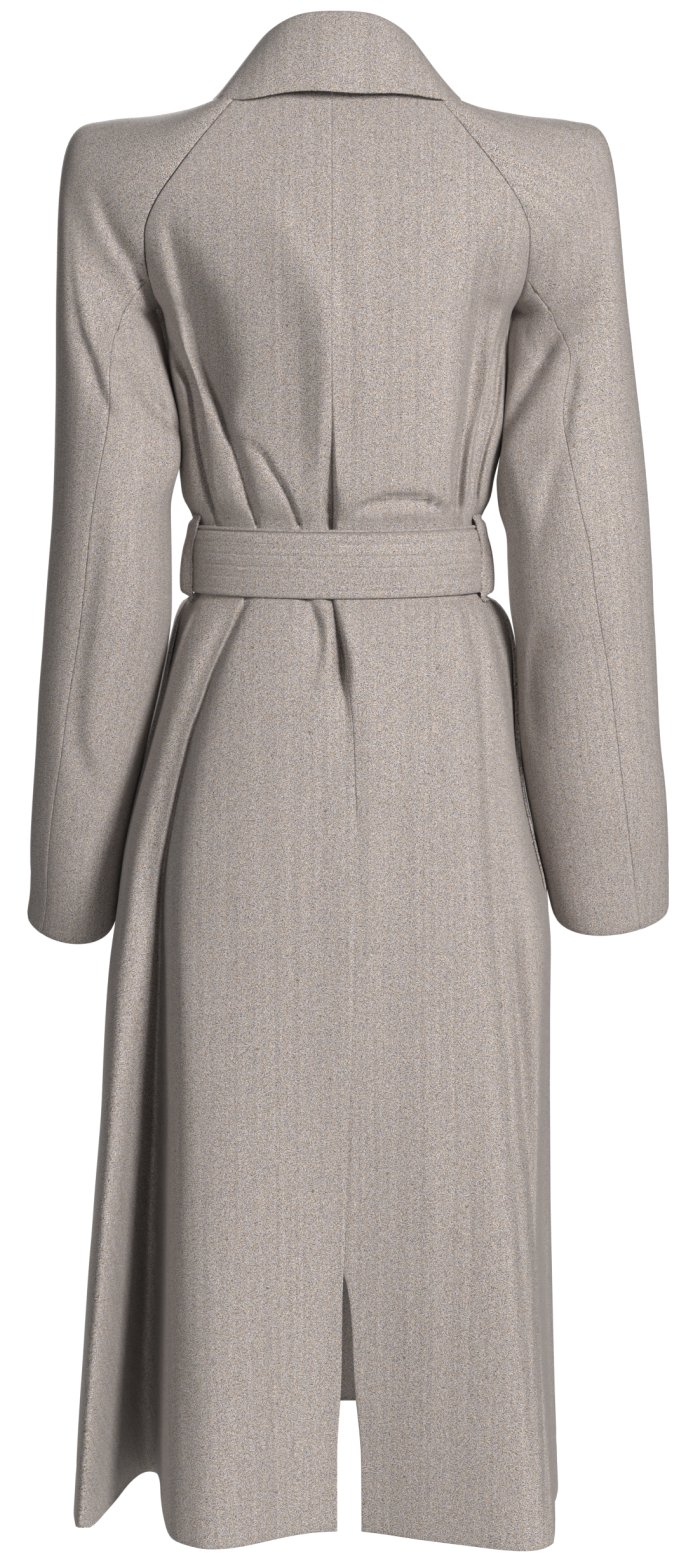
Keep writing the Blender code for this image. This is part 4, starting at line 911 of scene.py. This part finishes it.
# Sleeves below the armpit: the inner and outer sides' places across, the middle's place from front
# to back, half the depth, how much the rings tip down towards the back, and the places of the back
# and front seams round the ring (0 at the inner side, 0.5 outside, back first).
SLEEVE_COLUMNS = "z inner outer y deep tip back_seam front_seam"
SLEEVE = {
    1: Table(SLEEVE_COLUMNS, [
        (ARMPIT, 0.1470, 0.2360, 0.000, 0.070, 0.00, 0.15, 0.855),
        (-0.205, 0.1430, 0.2362, 0.007, 0.070, 0.00, 0.195, 0.825),
        (-0.248, 0.1365, 0.2365, 0.017, 0.070, 0.00, 0.235, 0.81),
        (-0.290, 0.1340, 0.2370, 0.025, 0.069, 0.00, 0.275, 0.79),
        (-0.334, 0.1395, 0.2388, 0.028, 0.067, 0.03, 0.295, 0.78),
        (-0.377, 0.1390, 0.2425, 0.026, 0.065, 0.06, 0.305, 0.78),
        (-0.419, 0.1395, 0.2465, 0.019, 0.063, 0.10, 0.315, 0.78),
        (-0.441, 0.1420, 0.2485, 0.014, 0.061, 0.13, 0.320, 0.78),
        (-0.484, 0.1505, 0.2530, 0.006, 0.058, 0.18, 0.33, 0.78),
        (-0.530, 0.1615, 0.2568, -0.003, 0.056, 0.23, 0.335, 0.78),
        (-0.577, 0.1730, 0.2615, -0.013, 0.053, 0.28, 0.345, 0.78),
        (-0.622, 0.1825, 0.2650, -0.025, 0.051, 0.33, 0.35, 0.78),
        (-0.667, 0.1885, 0.2665, -0.037, 0.049, 0.38, 0.355, 0.78),
        (-0.687, 0.1915, 0.2700, -0.044, 0.048, 0.40, 0.36, 0.78),
    ]),
    -1: Table(SLEEVE_COLUMNS, [
        (ARMPIT, 0.1470, 0.2445, 0.000, 0.070, 0.00, 0.15, 0.855),
        (-0.205, 0.1440, 0.2485, 0.007, 0.070, 0.00, 0.195, 0.825),
        (-0.248, 0.1440, 0.2540, 0.016, 0.070, 0.00, 0.20, 0.80),
        (-0.290, 0.1410, 0.2585, 0.024, 0.069, 0.00, 0.23, 0.79),
        (-0.312, 0.1355, 0.2605, 0.027, 0.068, 0.01, 0.245, 0.78),
        (-0.334, 0.1370, 0.2625, 0.030, 0.067, 0.03, 0.255, 0.78),
        (-0.355, 0.1430, 0.2640, 0.028, 0.066, 0.05, 0.263, 0.78),
        (-0.377, 0.1440, 0.2660, 0.026, 0.065, 0.07, 0.268, 0.78),
        (-0.419, 0.1470, 0.2685, 0.019, 0.063, 0.10, 0.28, 0.78),
        (-0.441, 0.1510, 0.2705, 0.014, 0.061, 0.13, 0.286, 0.78),
        (-0.484, 0.1540, 0.2735, 0.006, 0.058, 0.18, 0.30, 0.78),
        (-0.530, 0.1560, 0.2765, -0.003, 0.056, 0.23, 0.3125, 0.78),
        (-0.577, 0.1620, 0.2825, -0.013, 0.053, 0.28, 0.316, 0.78),
        (-0.622, 0.1720, 0.2860, -0.025, 0.051, 0.32, 0.32, 0.78),
        (-0.667, 0.1830, 0.2880, -0.036, 0.049, 0.36, 0.326, 0.78),
        (-0.681, 0.1865, 0.2885, -0.040, 0.048, 0.36, 0.33, 0.78),
    ]),
}

SLEEVE_CREASES = ARMHOLE_CREASES + [
    # left drag from the shoulder
    crease(-3.0, [
        (290, 146, 0, 16), (350, 165, 5, 16), (380, 180, 7, 15), (410, 200, 8, 14), (445, 221, 9, 11),
        (475, 238, 9, 9), (500, 250, 4, 7)]),
    # left soft hollow
    crease(2.5, [
        (340, 105, 0, 20), (450, 112, 4, 20), (520, 125, 6, 19), (570, 144, 7, 18), (620, 160, 6, 16),
        (665, 180, 0, 14)]),
    # left elbow
    crease(-4.0, [
        (560, 204, 0, 11), (590, 212, 7, 12), (630, 226, 11, 13), (660, 248, 12, 13), (690, 270, 12, 12),
        (715, 284, 8, 12)]),
    # left elbow crease
    crease(-1.5, [
        (915, 246, 0, 5), (935, 236, 3, 5), (955, 226, 3, 5), (980, 212, 0, 5)]),
    # left forearm hollow
    crease(2.0, [
        (740, 165, 0, 26), (880, 152, 4, 26), (1040, 130, 5, 26), (1150, 122, 5, 22), (1260, 150, 0, 22)]),
    # right drag to the elbow
    crease(4.0, [
        (520, 888, 0, 12), (550, 872, 7, 12), (600, 850, 9, 13), (640, 832, 9, 13), (680, 814, 8, 11),
        (720, 800, 0, 9)]),
    # right soft hollow
    crease(1.5, [(560, 908, 0, 14), (600, 904, 4, 14), (650, 895, 4, 14), (720, 888, 0, 14)]),
    # right elbow
    crease(-1.0, [
        (690, 886, 0, 18), (745, 868, 4, 20), (790, 857, 5, 20), (830, 850, 3, 18), (880, 846, 0, 16)]),
    # right elbow, inner
    crease(3.0, [(700, 800, 0, 12), (740, 806, 8, 15), (780, 802, 9, 15), (830, 806, 0, 12)]),
    # right forearm hollow
    crease(-2.0, [
        (960, 850, 0, 26), (1040, 838, 6, 26), (1100, 836, 6, 26), (1200, 846, 0, 24)]),
]
SLEEVE_FRONT_CREASES = [
    # left front drag
    crease(2.5, [
        (330, 190, 0, 12), (400, 214, 4, 11), (460, 236, 6, 9), (520, 256, 4, 8), (560, 262, 0, 8)]),
    # left front elbow
    crease(-2.5, [
        (640, 190, 0, 12), (690, 200, 5, 11), (730, 222, 7, 10), (760, 252, 7, 9), (790, 275, 4, 9)]),
    # left front hollow
    crease(1.5, [(760, 120, 0, 22), (900, 126, 3, 24), (1080, 118, 0, 24)]),
    # right front drag
    crease(-3.0, [
        (340, 880, 0, 12), (410, 862, 4, 11), (470, 838, 6, 9), (530, 812, 5, 8), (575, 802, 0, 8)]),
    # right front elbow
    crease(2.5, [
        (660, 890, 0, 12), (705, 876, 5, 11), (745, 850, 7, 10), (775, 820, 7, 9), (800, 796, 4, 9)]),
    # right front hollow
    crease(-1.5, [(800, 950, 0, 22), (930, 944, 3, 24), (1120, 956, 0, 24)]),
]


def normal_of(surface, a, b, step_a, step_b):
    """Unit normal of a surface of two parameters."""
    across = surface(a + step_a, b) - surface(a - step_a, b)
    down = surface(a, b + step_b) - surface(a, b - step_b)
    return across.cross(down).normalized()


BODY_STEPS = (0.025, 0.008)   # steps round, in radians, and up that the body's normal is measured with


def body_normal(angle, z):
    """Outward normal of the coat's outer face."""
    return -normal_of(body, angle, z, *BODY_STEPS)


@lru_cache(maxsize=None)
def raglan_frame(t, side, face):
    """Seam point on the raglan line, the body's normal there, and its level and upward directions."""
    row = RAGLAN.at(t)
    angle = angle_at(side * row.x, row.z, face)
    normal = body_normal(angle, row.z)
    level = Vector((-normal.y, normal.x, 0)).normalized() * (-side * face)
    return body(angle, row.z), normal, level, level.cross(normal) * (side * face)


def curve(start, start_reach, end, end_reach, s):
    """A point on a cubic curve between two points with a straight run-on at each."""
    handle, other = start + start_reach, end + end_reach
    r = 1 - s
    return r ** 3 * start + 3 * r * r * s * handle + 3 * r * s * s * other + s ** 3 * end


def sleeve_height(t, side):
    """Height of a ring below the armpit."""
    return ARMPIT + (t - 1) * (SLEEVE[side].keys[0] - ARMPIT)


@lru_cache(maxsize=None)
def sleeve_half(t, side, face):
    """The four points that steer one half ring of a sleeve, back (1) or front (-1)."""
    if t <= 1.0:
        row = RAGLAN.at(t)
        point, normal, level, up = raglan_frame(t, side, face)
        turn = math.radians(row.turn)
        along = (level + up * row.rise).normalized()
        lead = along * math.cos(turn) + normal * math.sin(turn)
        gap = (along * math.cos(turn / 2) + normal * math.sin(turn / 2)) * SEAM
        top_x = row.top_left if side > 0 else row.top_right
        top = Vector((side * top_x, 0, row.top_z))
        return point + gap, lead * row.reach, top, Vector((0, face * row.round, 0))
    z = sleeve_height(t, side)
    row = SLEEVE[side].at(z)
    bulge = row.deep * 4 / 3 * face
    inner = Vector((side * (row.inner + SEAM), row.y, z))
    outer = Vector((side * row.outer, row.y, z))
    reach = Vector((0, bulge, -row.tip * bulge))
    skew = CUFF_SKEW * ramp(z, *CUFF_SKEW_FROM)
    pinch = ARMPIT_PINCH * (1 - ramp(z, ARMPIT, ARMPIT - PINCH_HIGH))
    leaving = Vector((side * bulge * face * math.sin(pinch), bulge * math.cos(pinch), reach.z)) * (1 + skew)
    return inner, leaving, outer, reach * (1 - skew)


def sleeve(v, t, side):
    """A point of a sleeve's outer face: v runs round the ring, t down from the neck to the cuff."""
    v = v % 1.0 if not 0 <= v <= 1 else v
    face = 1 if v <= 0.5 else -1
    place = 2 * v if face > 0 else 2 - 2 * v
    blend = ARMPIT_BLEND * ramp(place, 0.0, BLEND_FROM) * math.exp(-((t - 1) / BLEND_HALF) ** 2)
    if blend < 0.01:
        return curve(*sleeve_half(round(t, 5), side, face), place)
    point = Vector()
    for shift, weight in BLEND_SHARES:
        point += curve(*sleeve_half(round(t + shift * blend, 4), side, face), place) * weight
    return point


ROUND_STEP = 0.011            # steps round and down a sleeve that its normal is measured with
DOWN_STEP = 0.014
ROUND_ENDS = (0.012, 0.988)   # the places nearest to its ends where they still fit
DOWN_ENDS = (0.015, 1.985)


def sleeve_normal(v, t, side):
    """Outward normal of a sleeve's outer face; on its inner line, the mean of both halves'."""
    def surface(round_ring, down):
        return sleeve(round_ring, down, side)
    safe_t = min(max(t, DOWN_ENDS[0]), DOWN_ENDS[1])
    places = ROUND_ENDS if v in (0, 1) and t >= 1 else [min(max(v, ROUND_ENDS[0]), ROUND_ENDS[1])]
    normals = [normal_of(surface, place, safe_t, ROUND_STEP, DOWN_STEP) for place in places]
    return sum(normals, Vector()).normalized() * side


LEAN = 0.009                  # how far a sleeve's back leans in over the coat's side
LEAN_AT = 0.075               # place round the ring, and half width there
LEAN_HALF = 0.055
LEAN_TOP = (ARMPIT + 0.01, ARMPIT - 0.03)     # heights where it begins and is full
LEAN_END = (-0.335, -0.290)   # and where it has died away and is still full
SHOULDER_CALM = 0.2           # share of the cloth's wavering at the neck; it is full from mid-shoulder on
SLEEVE_FACING = (0.02, 0.30)  # how far a sleeve faces back or front where its creases begin and are full
SLEEVE_EDGE_STEPS = EDGE_STEPS + (0.0095, 0.0135)     # distances of its first columns from the seam


def sleeve_cloth(side, grid):
    """A sleeve piece through a grid of places (v, t), with its creases, seams and turned cuff."""
    last = len(grid[0]) - 1
    points, plain_points = [], []
    for row in grid:
        points.append([])
        plain_points.append([])
        for j, (v, t) in enumerate(row):
            plain = sleeve(v, t, side)
            normal = sleeve_normal(v, t, side)
            from_edge = min(j, last - j)
            near = SLEEVE_EDGE_STEPS[from_edge] if from_edge < len(SLEEVE_EDGE_STEPS) else 1
            cuff = (2 - t) * (ARMPIT - SLEEVE[side].keys[0])
            face = 1 if v <= 0.5 else -1
            inward, outward = crease_push(SLEEVE_CREASES if face > 0 else SLEEVE_FRONT_CREASES, plain, face)
            push = (outward - inward) * ramp(normal.y * face, *SLEEVE_FACING)
            wavering = ramp(t, 0.0, 0.5) * (1 - SHOULDER_CALM) + SHOULDER_CALM
            out = unevenness(plain) * wavering + seam_line(near) + hem_line(cuff)
            lean = LEAN * ramp(plain.z, *LEAN_END) * ramp(plain.z, *LEAN_TOP)
            lean *= math.exp(-((v - LEAN_AT) / LEAN_HALF) ** 2)
            points[-1].append(plain + normal * out + Vector((-side * lean, face * push, 0)))
            plain_points[-1].append(plain)
    return points, plain_points


def back_seam(t, side):
    """Place round the ring of the seam down the sleeve's back."""
    if t <= 1:
        return SLEEVE[side].at(ARMPIT).back_seam * max(t - GUSSET, 0) / (1 - GUSSET)
    return SLEEVE[side].at(sleeve_height(t, side)).back_seam


def front_seam(t, side):
    """Place round the ring of the seam down the sleeve's front."""
    if t <= 1:
        return 1 - (1 - SLEEVE[side].at(ARMPIT).front_seam) * max(t - GUSSET, 0) / (1 - GUSSET)
    return SLEEVE[side].at(sleeve_height(t, side)).front_seam


SLEEVE_LONG = 0.52            # about the length from the armpit to the cuff
TOP_ROWS = 50                 # rows from the neck to the armpit
ARM_ROWS = 122                # rows from there to the cuff
CUFF_CLEAR = 0.010            # where the close rows at the cuff take over


def sleeve_rows(start):
    """Row values down a sleeve, close together at the cuff."""
    cuff = [2 - step / SLEEVE_LONG for step in reversed(EDGE_STEPS)]
    arm = steps(1, 2 - CUFF_CLEAR / SLEEVE_LONG, ARM_ROWS)[1:]
    return steps(start, 1, round((1 - start) * TOP_ROWS)) + arm + cuff


SEAM_TURN = SEAM / 0.22       # the seam's gap as a share of a ring, which is everywhere over 0.22 m round
UPPER_COLUMNS = 76
UPPER_WIDE = 0.10             # about the upper sleeve's width at the neck, and how much it widens
UPPER_WIDENS = 0.20
UNDER_COLUMNS = 44
UNDER_WIDE = 0.16             # about the under sleeve's width at the armpit
UNDER_OPENING = 0.12          # how far past the armpit its middle reaches its full width


def upper_grid(side):
    """Places on an upper sleeve: the whole ring at the shoulder, and between its two seams below."""
    grid = []
    for t in sleeve_rows(0.0):
        start, end = 0.0, 1.0
        if t > GUSSET:
            start, end = back_seam(t, side) + SEAM_TURN, front_seam(t, side) - SEAM_TURN
        width = UPPER_WIDE + UPPER_WIDENS * min(t / GUSSET, 1)
        grid.append([(start + (end - start) * s, t) for s in spread(width, UPPER_COLUMNS)])
    return grid


def under_grid(side):
    """Places on an under sleeve: from the back seam, over the ring's inner line, to the front seam."""
    grid = []
    for level in sleeve_rows(GUSSET):
        row = []
        for c in [1 - 2 * s for s in spread(UNDER_WIDE, UNDER_COLUMNS)]:
            top = 1 - (1 - GUSSET) * abs(c)
            t = top + (2 - top) * (level - GUSSET) / (2 - GUSSET)
            opened = min((t - top) / (1 + UNDER_OPENING * (1 - abs(c)) - top), 1) if c else 0
            seam = back_seam(max(t, 1), side) if c > 0 else 1 - front_seam(max(t, 1), side)
            v = abs(c) * seam * opened
            row.append((v if c >= 0 else 1 - v, t))
        grid.append(row)
    return grid


for label, side in (("left", 1), ("right", -1)):
    for part, grid, outward, flat_size, area in (
        ("upper", upper_grid(side), Vector((side, 0, 0.2)), (0.34, 0.80), 0.165),
        ("under", under_grid(side), Vector((-side, 0, 0)), (0.20, 0.62), 0.10),
    ):
        name = "sleeve_" + label + "_" + part
        points, plain_points = sleeve_cloth(side, grid)
        middle = len(grid[0]) // 2
        piece = cloth_from("cloth_" + name, points, outward, plain=plain_points, straight=middle)
        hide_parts(name)


# The collar: a large turned-down collar of two layers of the crepe over canvas. It stands at the neck,
# rolls over and falls on the shoulders, and its free edge lifts a little off the back in soft waves.
COLLAR = Table("s foot_x foot_y foot_z roll_x roll_y roll_z leaf_x leaf_y leaf_z belly", [
    (-0.12, -0.030, 0.0567, 0.0145, -0.026, 0.0530, 0.0735, -0.040, 0.0775, 0.0092, 0.13),
    (0.00, 0.000, 0.0584, 0.0155, 0.000, 0.0560, 0.0755, 0.000, 0.0800, 0.0096, 0.13),
    (0.12, 0.030, 0.0567, 0.0145, 0.028, 0.0530, 0.0735, 0.040, 0.0775, 0.0092, 0.13),
    (0.25, 0.057, 0.0480, 0.0110, 0.050, 0.0400, 0.0635, 0.079, 0.0700, 0.0045, 0.08),
    (0.38, 0.073, 0.0300, 0.0080, 0.064, 0.0180, 0.0490, 0.0985, 0.0480, 0.0040, 0.01),
    (0.50, 0.081, 0.0000, 0.0040, 0.071, -0.010, 0.0320, 0.1025, -0.0050, 0.0085, 0.00),
    (0.56, 0.0770, -0.0220, 0.0030, 0.0695, -0.030, 0.0275, 0.1040, -0.0310, 0.0060, 0.03),
    (0.62, 0.0690, -0.0410, -0.007, 0.0635, -0.049, 0.0140, 0.1060, -0.0560, -0.0060, 0.06),
    (0.74, 0.0560, -0.0715, -0.050, 0.0500, -0.080, -0.0420, 0.112, -0.0920, -0.0600, 0.10),
    (0.87, 0.0410, -0.1010, -0.100, 0.0340, -0.110, -0.0920, 0.092, -0.1170, -0.1150, 0.12),
    (1.00, 0.0220, -0.1235, -0.152, 0.0135, -0.132, -0.1470, 0.048, -0.1395, -0.1620, 0.12),
])
COLLAR_THICK = 0.0022
COLLAR_STATIONS = 96
ROLL_IN = 0.0035              # how far inside its roll line the collar begins to turn over
ROLL_OUT = 0.0045             # how far outside it the turn ends
ROLL_LOW = 0.0045             # and how far below it both places lie
CROWN = ((-0.0015, -0.0008), (0.0020, -0.0006))    # points on the roll's crown, out and up from that line
BELLY_SLOPE = (0.75, 0.5)     # how far out and up the fall bulges
EDGE_TURN = 0.04              # how far the leaf's folded edge runs on past it, as a share of the last step
BACK_WAVES = ((0.0014, 17, 0.6), (0.0008, 41, 0.0))     # the leaf's waves: height, rate and start
UP_WAVES = ((0.0010, 23, 0.0),)
WAVES_END = 0.55              # station where they have died away, and over what stretch
WAVES_FADE = 0.2


def collar_place(s, side):
    """Foot, roll and leaf points of the collar at one station."""
    row = COLLAR.at(s)
    return [Vector((side * x, y, z)) for x, y, z in (row[1:4], row[4:7], row[7:10])], row.belly


def collar_section(s, side):
    """The collar's visible face at one station: up the stand, over the roll and down the fall."""
    (foot, roll, leaf), bulge = collar_place(s, side)
    up = (roll - foot).normalized()
    out = (leaf - roll - up * (leaf - roll).dot(up)).normalized()
    inner_lip = roll - out * ROLL_IN - up * ROLL_LOW
    outer_lip = roll + out * ROLL_OUT - up * ROLL_LOW
    points = [foot.lerp(inner_lip, share) for share in steps(0, 1, 3)]
    points += [roll + out * across + up * high for across, high in CROWN]
    bulging = out * BELLY_SLOPE[0] + up * BELLY_SLOPE[1]
    belly = outer_lip.lerp(leaf, 0.5) + bulging * (leaf - outer_lip).length * bulge
    for share in steps(0, 1, 5):
        rest = 1 - share
        points.append(outer_lip * rest * rest + belly * 2 * rest * share + leaf * share * share)
    return points


def waves(s, parts):
    """Several waves together at one station."""
    return sum(high * math.sin(s * rate + start) for high, rate, start in parts)


def collar_lift(s):
    """How the free edge lifts off the back in soft waves, which die away towards the front."""
    return Vector((0, waves(s, BACK_WAVES), waves(s, UP_WAVES))) * ramp(WAVES_END - abs(s), 0.0, WAVES_FADE)


sections = []
for s in steps(-1, 1, COLLAR_STATIONS):
    section = collar_section(abs(s), 1 if s >= 0 else -1)
    section = [point + collar_lift(s) * ramp(j, 5, len(section) - 1) for j, point in enumerate(section)]
    sections.append(section + [section[-1] + (section[-1] - section[-2]) * EDGE_TURN])
collar = cloth_from("cloth_collar", sections, Vector((0, 1, 0.3)), turned=True, thick=COLLAR_THICK,
                    level=COLLAR_STATIONS // 2)
rounding = collar.modifiers.new("smooth roll", "SUBSURF")
rounding.levels = rounding.render_levels = 2
collar.modifiers.move(1, 0)
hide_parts("collar")


# The belt: a stiff band of the crepe, folded over and stitched in rows along its length. The first row
# lies close below the upper edge and pulls it in deep.
BELT_WIDE = BELT_TOP - BELT_BOTTOM
BELT_MIDDLE = (BELT_TOP + BELT_BOTTOM) / 2
BELT_THICK = 0.0034
LAP_GAP = 0.0008              # gap between two layers that lie on each other
STITCH_ROWS = (0.0030, 0.0125, 0.0220, 0.0315, 0.0410, 0.0505)     # below the upper edge
FIRST_STITCH_DEEP = 0.0024
STITCH_DEEP = 0.0005
STITCH_HALF = 0.0007
EDGE_ROUND = 0.0007           # how far the folded edges are rounded
EDGE_THIN = 0.45              # and how much thinner the belt is there
FACE_STEPS = 44               # even places down its face,
FACE_CLEAR = 0.0008           # that begin this far inside its edges,
EDGE_NEAR = 0.0003            # with one more this close to each edge
STITCH_NEAR = 0.0006          # and one at this distance on both sides of each row of stitches
BELT_COLUMNS = 220
BELT_SAG = 0.002
BELT_WAVE = 0.0004


def band(angle, z, out):
    """A point at the belt's section, moved out; the belt hangs a little lower at the back's middle."""
    reach = radius(angle, BELT_MIDDLE) + out
    sag = BELT_SAG * max(math.cos(angle), 0) ** 2
    return Vector((reach * math.sin(angle), reach * math.cos(angle), z - sag))


def belt_face(depth):
    """How far the belt's outer face stands out at a depth below its upper edge."""
    edge = min(depth, BELT_WIDE - depth)
    face = BELT_THICK * (1 - EDGE_THIN * math.exp(-(edge / EDGE_ROUND) ** 2))
    for row in STITCH_ROWS:
        deep = FIRST_STITCH_DEEP if row == STITCH_ROWS[0] else STITCH_DEEP
        face -= deep * math.exp(-((depth - row) / STITCH_HALF) ** 2)
    return face


# The belt's section, out and down: its face, then its flat back.
depths = {round(depth, 5) for depth in steps(FACE_CLEAR, BELT_WIDE - FACE_CLEAR, FACE_STEPS)}
depths |= {0.0, EDGE_NEAR, BELT_WIDE - EDGE_NEAR, BELT_WIDE}
depths |= {row + offset for row in STITCH_ROWS for offset in (-STITCH_NEAR, 0.0, STITCH_NEAR)}
section = [(LAP_GAP + belt_face(depth), depth) for depth in sorted(depths)]
section += [(LAP_GAP, BELT_WIDE * share) for share in (1, 0.75, 0.5, 0.25, 0.0)] + section[:1]
rows = []
for out, depth in section:
    rows.append([])
    wave = BELT_WAVE if out > LAP_GAP * 1.5 else 0.0
    for angle in steps(0, math.tau, BELT_COLUMNS):
        waved = wave * noise.noise(Vector((math.sin(angle) * 3, math.cos(angle) * 3, depth * 20)))
        rows[-1].append(band(angle, BELT_TOP - depth, out + waved))
belt = cloth_from("cloth_belt", rows, Vector((0, -1, 0)), turned=True, thick=0)
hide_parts("belt")


# The belt loops: tall strips of the crepe, folded and edge-stitched, that stand over the belt and are
# sewn to the side seams above and below it.
LOOP_WIDE = 0.0175
LOOP_THICK = 0.0019
LOOP_AT = 80                  # degrees round from the back's middle, to both sides
LOOP_LEAN = math.radians(7)   # how far its upper end leans to the back, and the height where that begins
LOOP_LEAN_FROM = -0.372
LOOP_ROWS = 40
LOOP_SHARES = (-1, -0.94, -0.88, -0.8, -0.5, -0.2, 0.1, 0.4, 0.7, 0.88, 0.94, 1)   # places across it
LOOP_STITCH = 0.88            # place of its edge stitching, and how far that sinks
LOOP_STITCH_DEEP = 0.0003
LOOP_EDGE_DEEP = 0.0005       # how far its folded edges are rounded
LOOP_CREST = 0.3              # place across it that stands at its angle, and out at its full arch
LOOP_CLEAR = 0.0022           # room between the belt and a loop's outer face at its back edge
LOOP_RISE = 0.006             # arch at which the back edge has that room
LOOP = Table("z out", [
    (-0.3375, 0.0000), (-0.3440, 0.0072), (-0.3560, 0.0084), (-0.3667, 0.0104), (-0.3790, 0.0122),
    (-0.3920, 0.0130), (-0.4020, 0.0122), (-0.4090, 0.0000),
])


def stitching(share):
    """How far a loop's stitches and its folded edges sink at a place across it."""
    if abs(share) == 1:
        return LOOP_EDGE_DEEP
    return LOOP_STITCH_DEEP if abs(share) == LOOP_STITCH else 0.0


for name, side in (("belt_loop_left", 1), ("belt_loop_right", -1)):
    half = LOOP_WIDE / 2 / radius(side * math.radians(LOOP_AT), BELT_TOP)
    rows = []
    for z in steps(LOOP.keys[-1], LOOP.keys[0], LOOP_ROWS):
        middle = math.radians(LOOP_AT) - LOOP_LEAN * ramp(z, LOOP_LEAN_FROM, LOOP.keys[-1])
        spots = [(share, side * (middle + half * (share - LOOP_CREST))) for share in LOOP_SHARES]
        seat = max(radius(angle, z) - radius(angle, BELT_TOP) for share, angle in spots) + 2 * SEAM + WALL
        arch = LOOP.at(z).out
        hug = seat + max(LAP_GAP + BELT_THICK + LOOP_CLEAR - seat, 0) * ramp(arch, 0.0, LOOP_RISE)
        rows.append([])
        for share, angle in spots:
            out = hug + (max(arch, seat) - hug) * ramp(share, -1.0, LOOP_CREST)
            rows[-1].append(band(angle, z, out - stitching(share)))
    loop = cloth_from("cloth_" + name, rows, Vector((side, 0, 0)), thick=LOOP_THICK)
    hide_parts(name)


# The belt's ends: the photograph hides the front, so the belt is tied there in a plain half knot, and
# its two ends hang down the fronts. They are stitched in rows like the rest of the belt.
Tie = namedtuple("Tie", "name x_top x_end length wide")
TIES = [Tie("belt_end_left", 0.026, 0.050, 0.300, 0.046), Tie("belt_end_right", -0.026, -0.040, 0.345, 0.046)]
END_TOP = BELT_BOTTOM - 0.0020
END_GAP = 0.0006              # gap between an end and the front under it
END_SWING = 0.003             # how far it stands off the front halfway down
END_WAVE = 0.0008             # height of its waves, and their rates down and across it
END_WAVES = (9, 3)
END_ROWS = 90
END_COLUMNS = 28

for tie in TIES:
    rows = []
    for z in steps(END_TOP, END_TOP - tie.length, END_ROWS):
        share = (END_TOP - z) / tie.length
        middle = tie.x_top + (tie.x_end - tie.x_top) * share
        outer, inner = [], []
        for across in steps(-0.5, 0.5, END_COLUMNS):
            angle = wrapped(angle_at(middle + across * tie.wide, z, -1), 1)
            lift = END_GAP + END_SWING * math.sin(math.pi * share) ** 2
            waving = math.sin(share * END_WAVES[0] + across * END_WAVES[1])
            lift += END_WAVE * (1 + waving) * ramp(share, 0.0, 0.2)
            outer.append(body(angle, z, lift + belt_face((across + 0.5) * BELT_WIDE)))
            inner.append(body(angle, z, lift))
        rows.append(outer + inner[::-1] + outer[:1])
    end = cloth_from("cloth_" + tie.name, rows, Vector((0, 1, 0)), thick=0)
    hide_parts(tie.name)


# The knot: a turn of the belt drawn tight round itself, so that slanting pleats run over its face. It
# is made as a rounded cushion that is pressed into those pleats.
KNOT = (0.062, 0.030, 0.078)  # width, depth and height of the cage that the knot is rounded from
KNOT_FILL = (0.84, 0.80, 0.82)     # how much of the cage it fills
KNOT_SQUARE = 3.2             # how square it is (2 is a ball)
KNOT_BACK = 0.42              # how far its middle stands in front of the belt, as a share of its depth
KNOT_CUTS = 22
KNOT_GRAIN = (0.8, 0.6)       # direction of its weave
PLEAT_SLANT = (0.75, 0.55)    # how far the line across the pleats runs to the side and up
PLEATS = 8.5                  # how closely they follow each other
PLEAT_REST = 0.93             # the knot's depth between them, and how deep they are
PLEAT_DEEP = 0.055
TUCK_AT = -0.55               # place across the pleats of one deep tuck, its half width and its depth
TUCK_HALF = 0.10
TUCK_DEEP = 0.05

knot_place = Vector((0, -(BODY.at(BELT_MIDDLE).front + LAP_GAP + BELT_THICK + KNOT[1] * KNOT_BACK + SEAM),
                     BELT_MIDDLE))
knot = bmesh.new()
bmesh.ops.create_cube(knot, size=1)
bmesh.ops.subdivide_edges(knot, edges=knot.edges, cuts=KNOT_CUTS, use_grid_fill=True)
for vert in knot.verts:
    place = vert.co * 2
    place = place / sum(abs(c) ** KNOT_SQUARE for c in place) ** (1 / KNOT_SQUARE)
    slant = place.x * PLEAT_SLANT[0] + place.z * PLEAT_SLANT[1]
    pleat = PLEAT_REST + PLEAT_DEEP * math.cos(slant * PLEATS)
    pleat -= TUCK_DEEP * math.exp(-((slant - TUCK_AT) / TUCK_HALF) ** 2)
    vert.co = knot_place + Vector([c * size / 2 * fill * press for c, size, fill, press
                                   in zip(place, KNOT, KNOT_FILL, (1, pleat, 1))])
grain = knot.loops.layers.uv.new("grain")
for face in knot.faces:
    for corner in face.loops:
        x, y, z = corner.vert.co
        corner[grain].uv = (x * KNOT_GRAIN[0] + z * KNOT_GRAIN[1], z * KNOT_GRAIN[0])
knot_piece = crepe_piece("cloth_belt_knot", knot)
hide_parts("belt_knot")
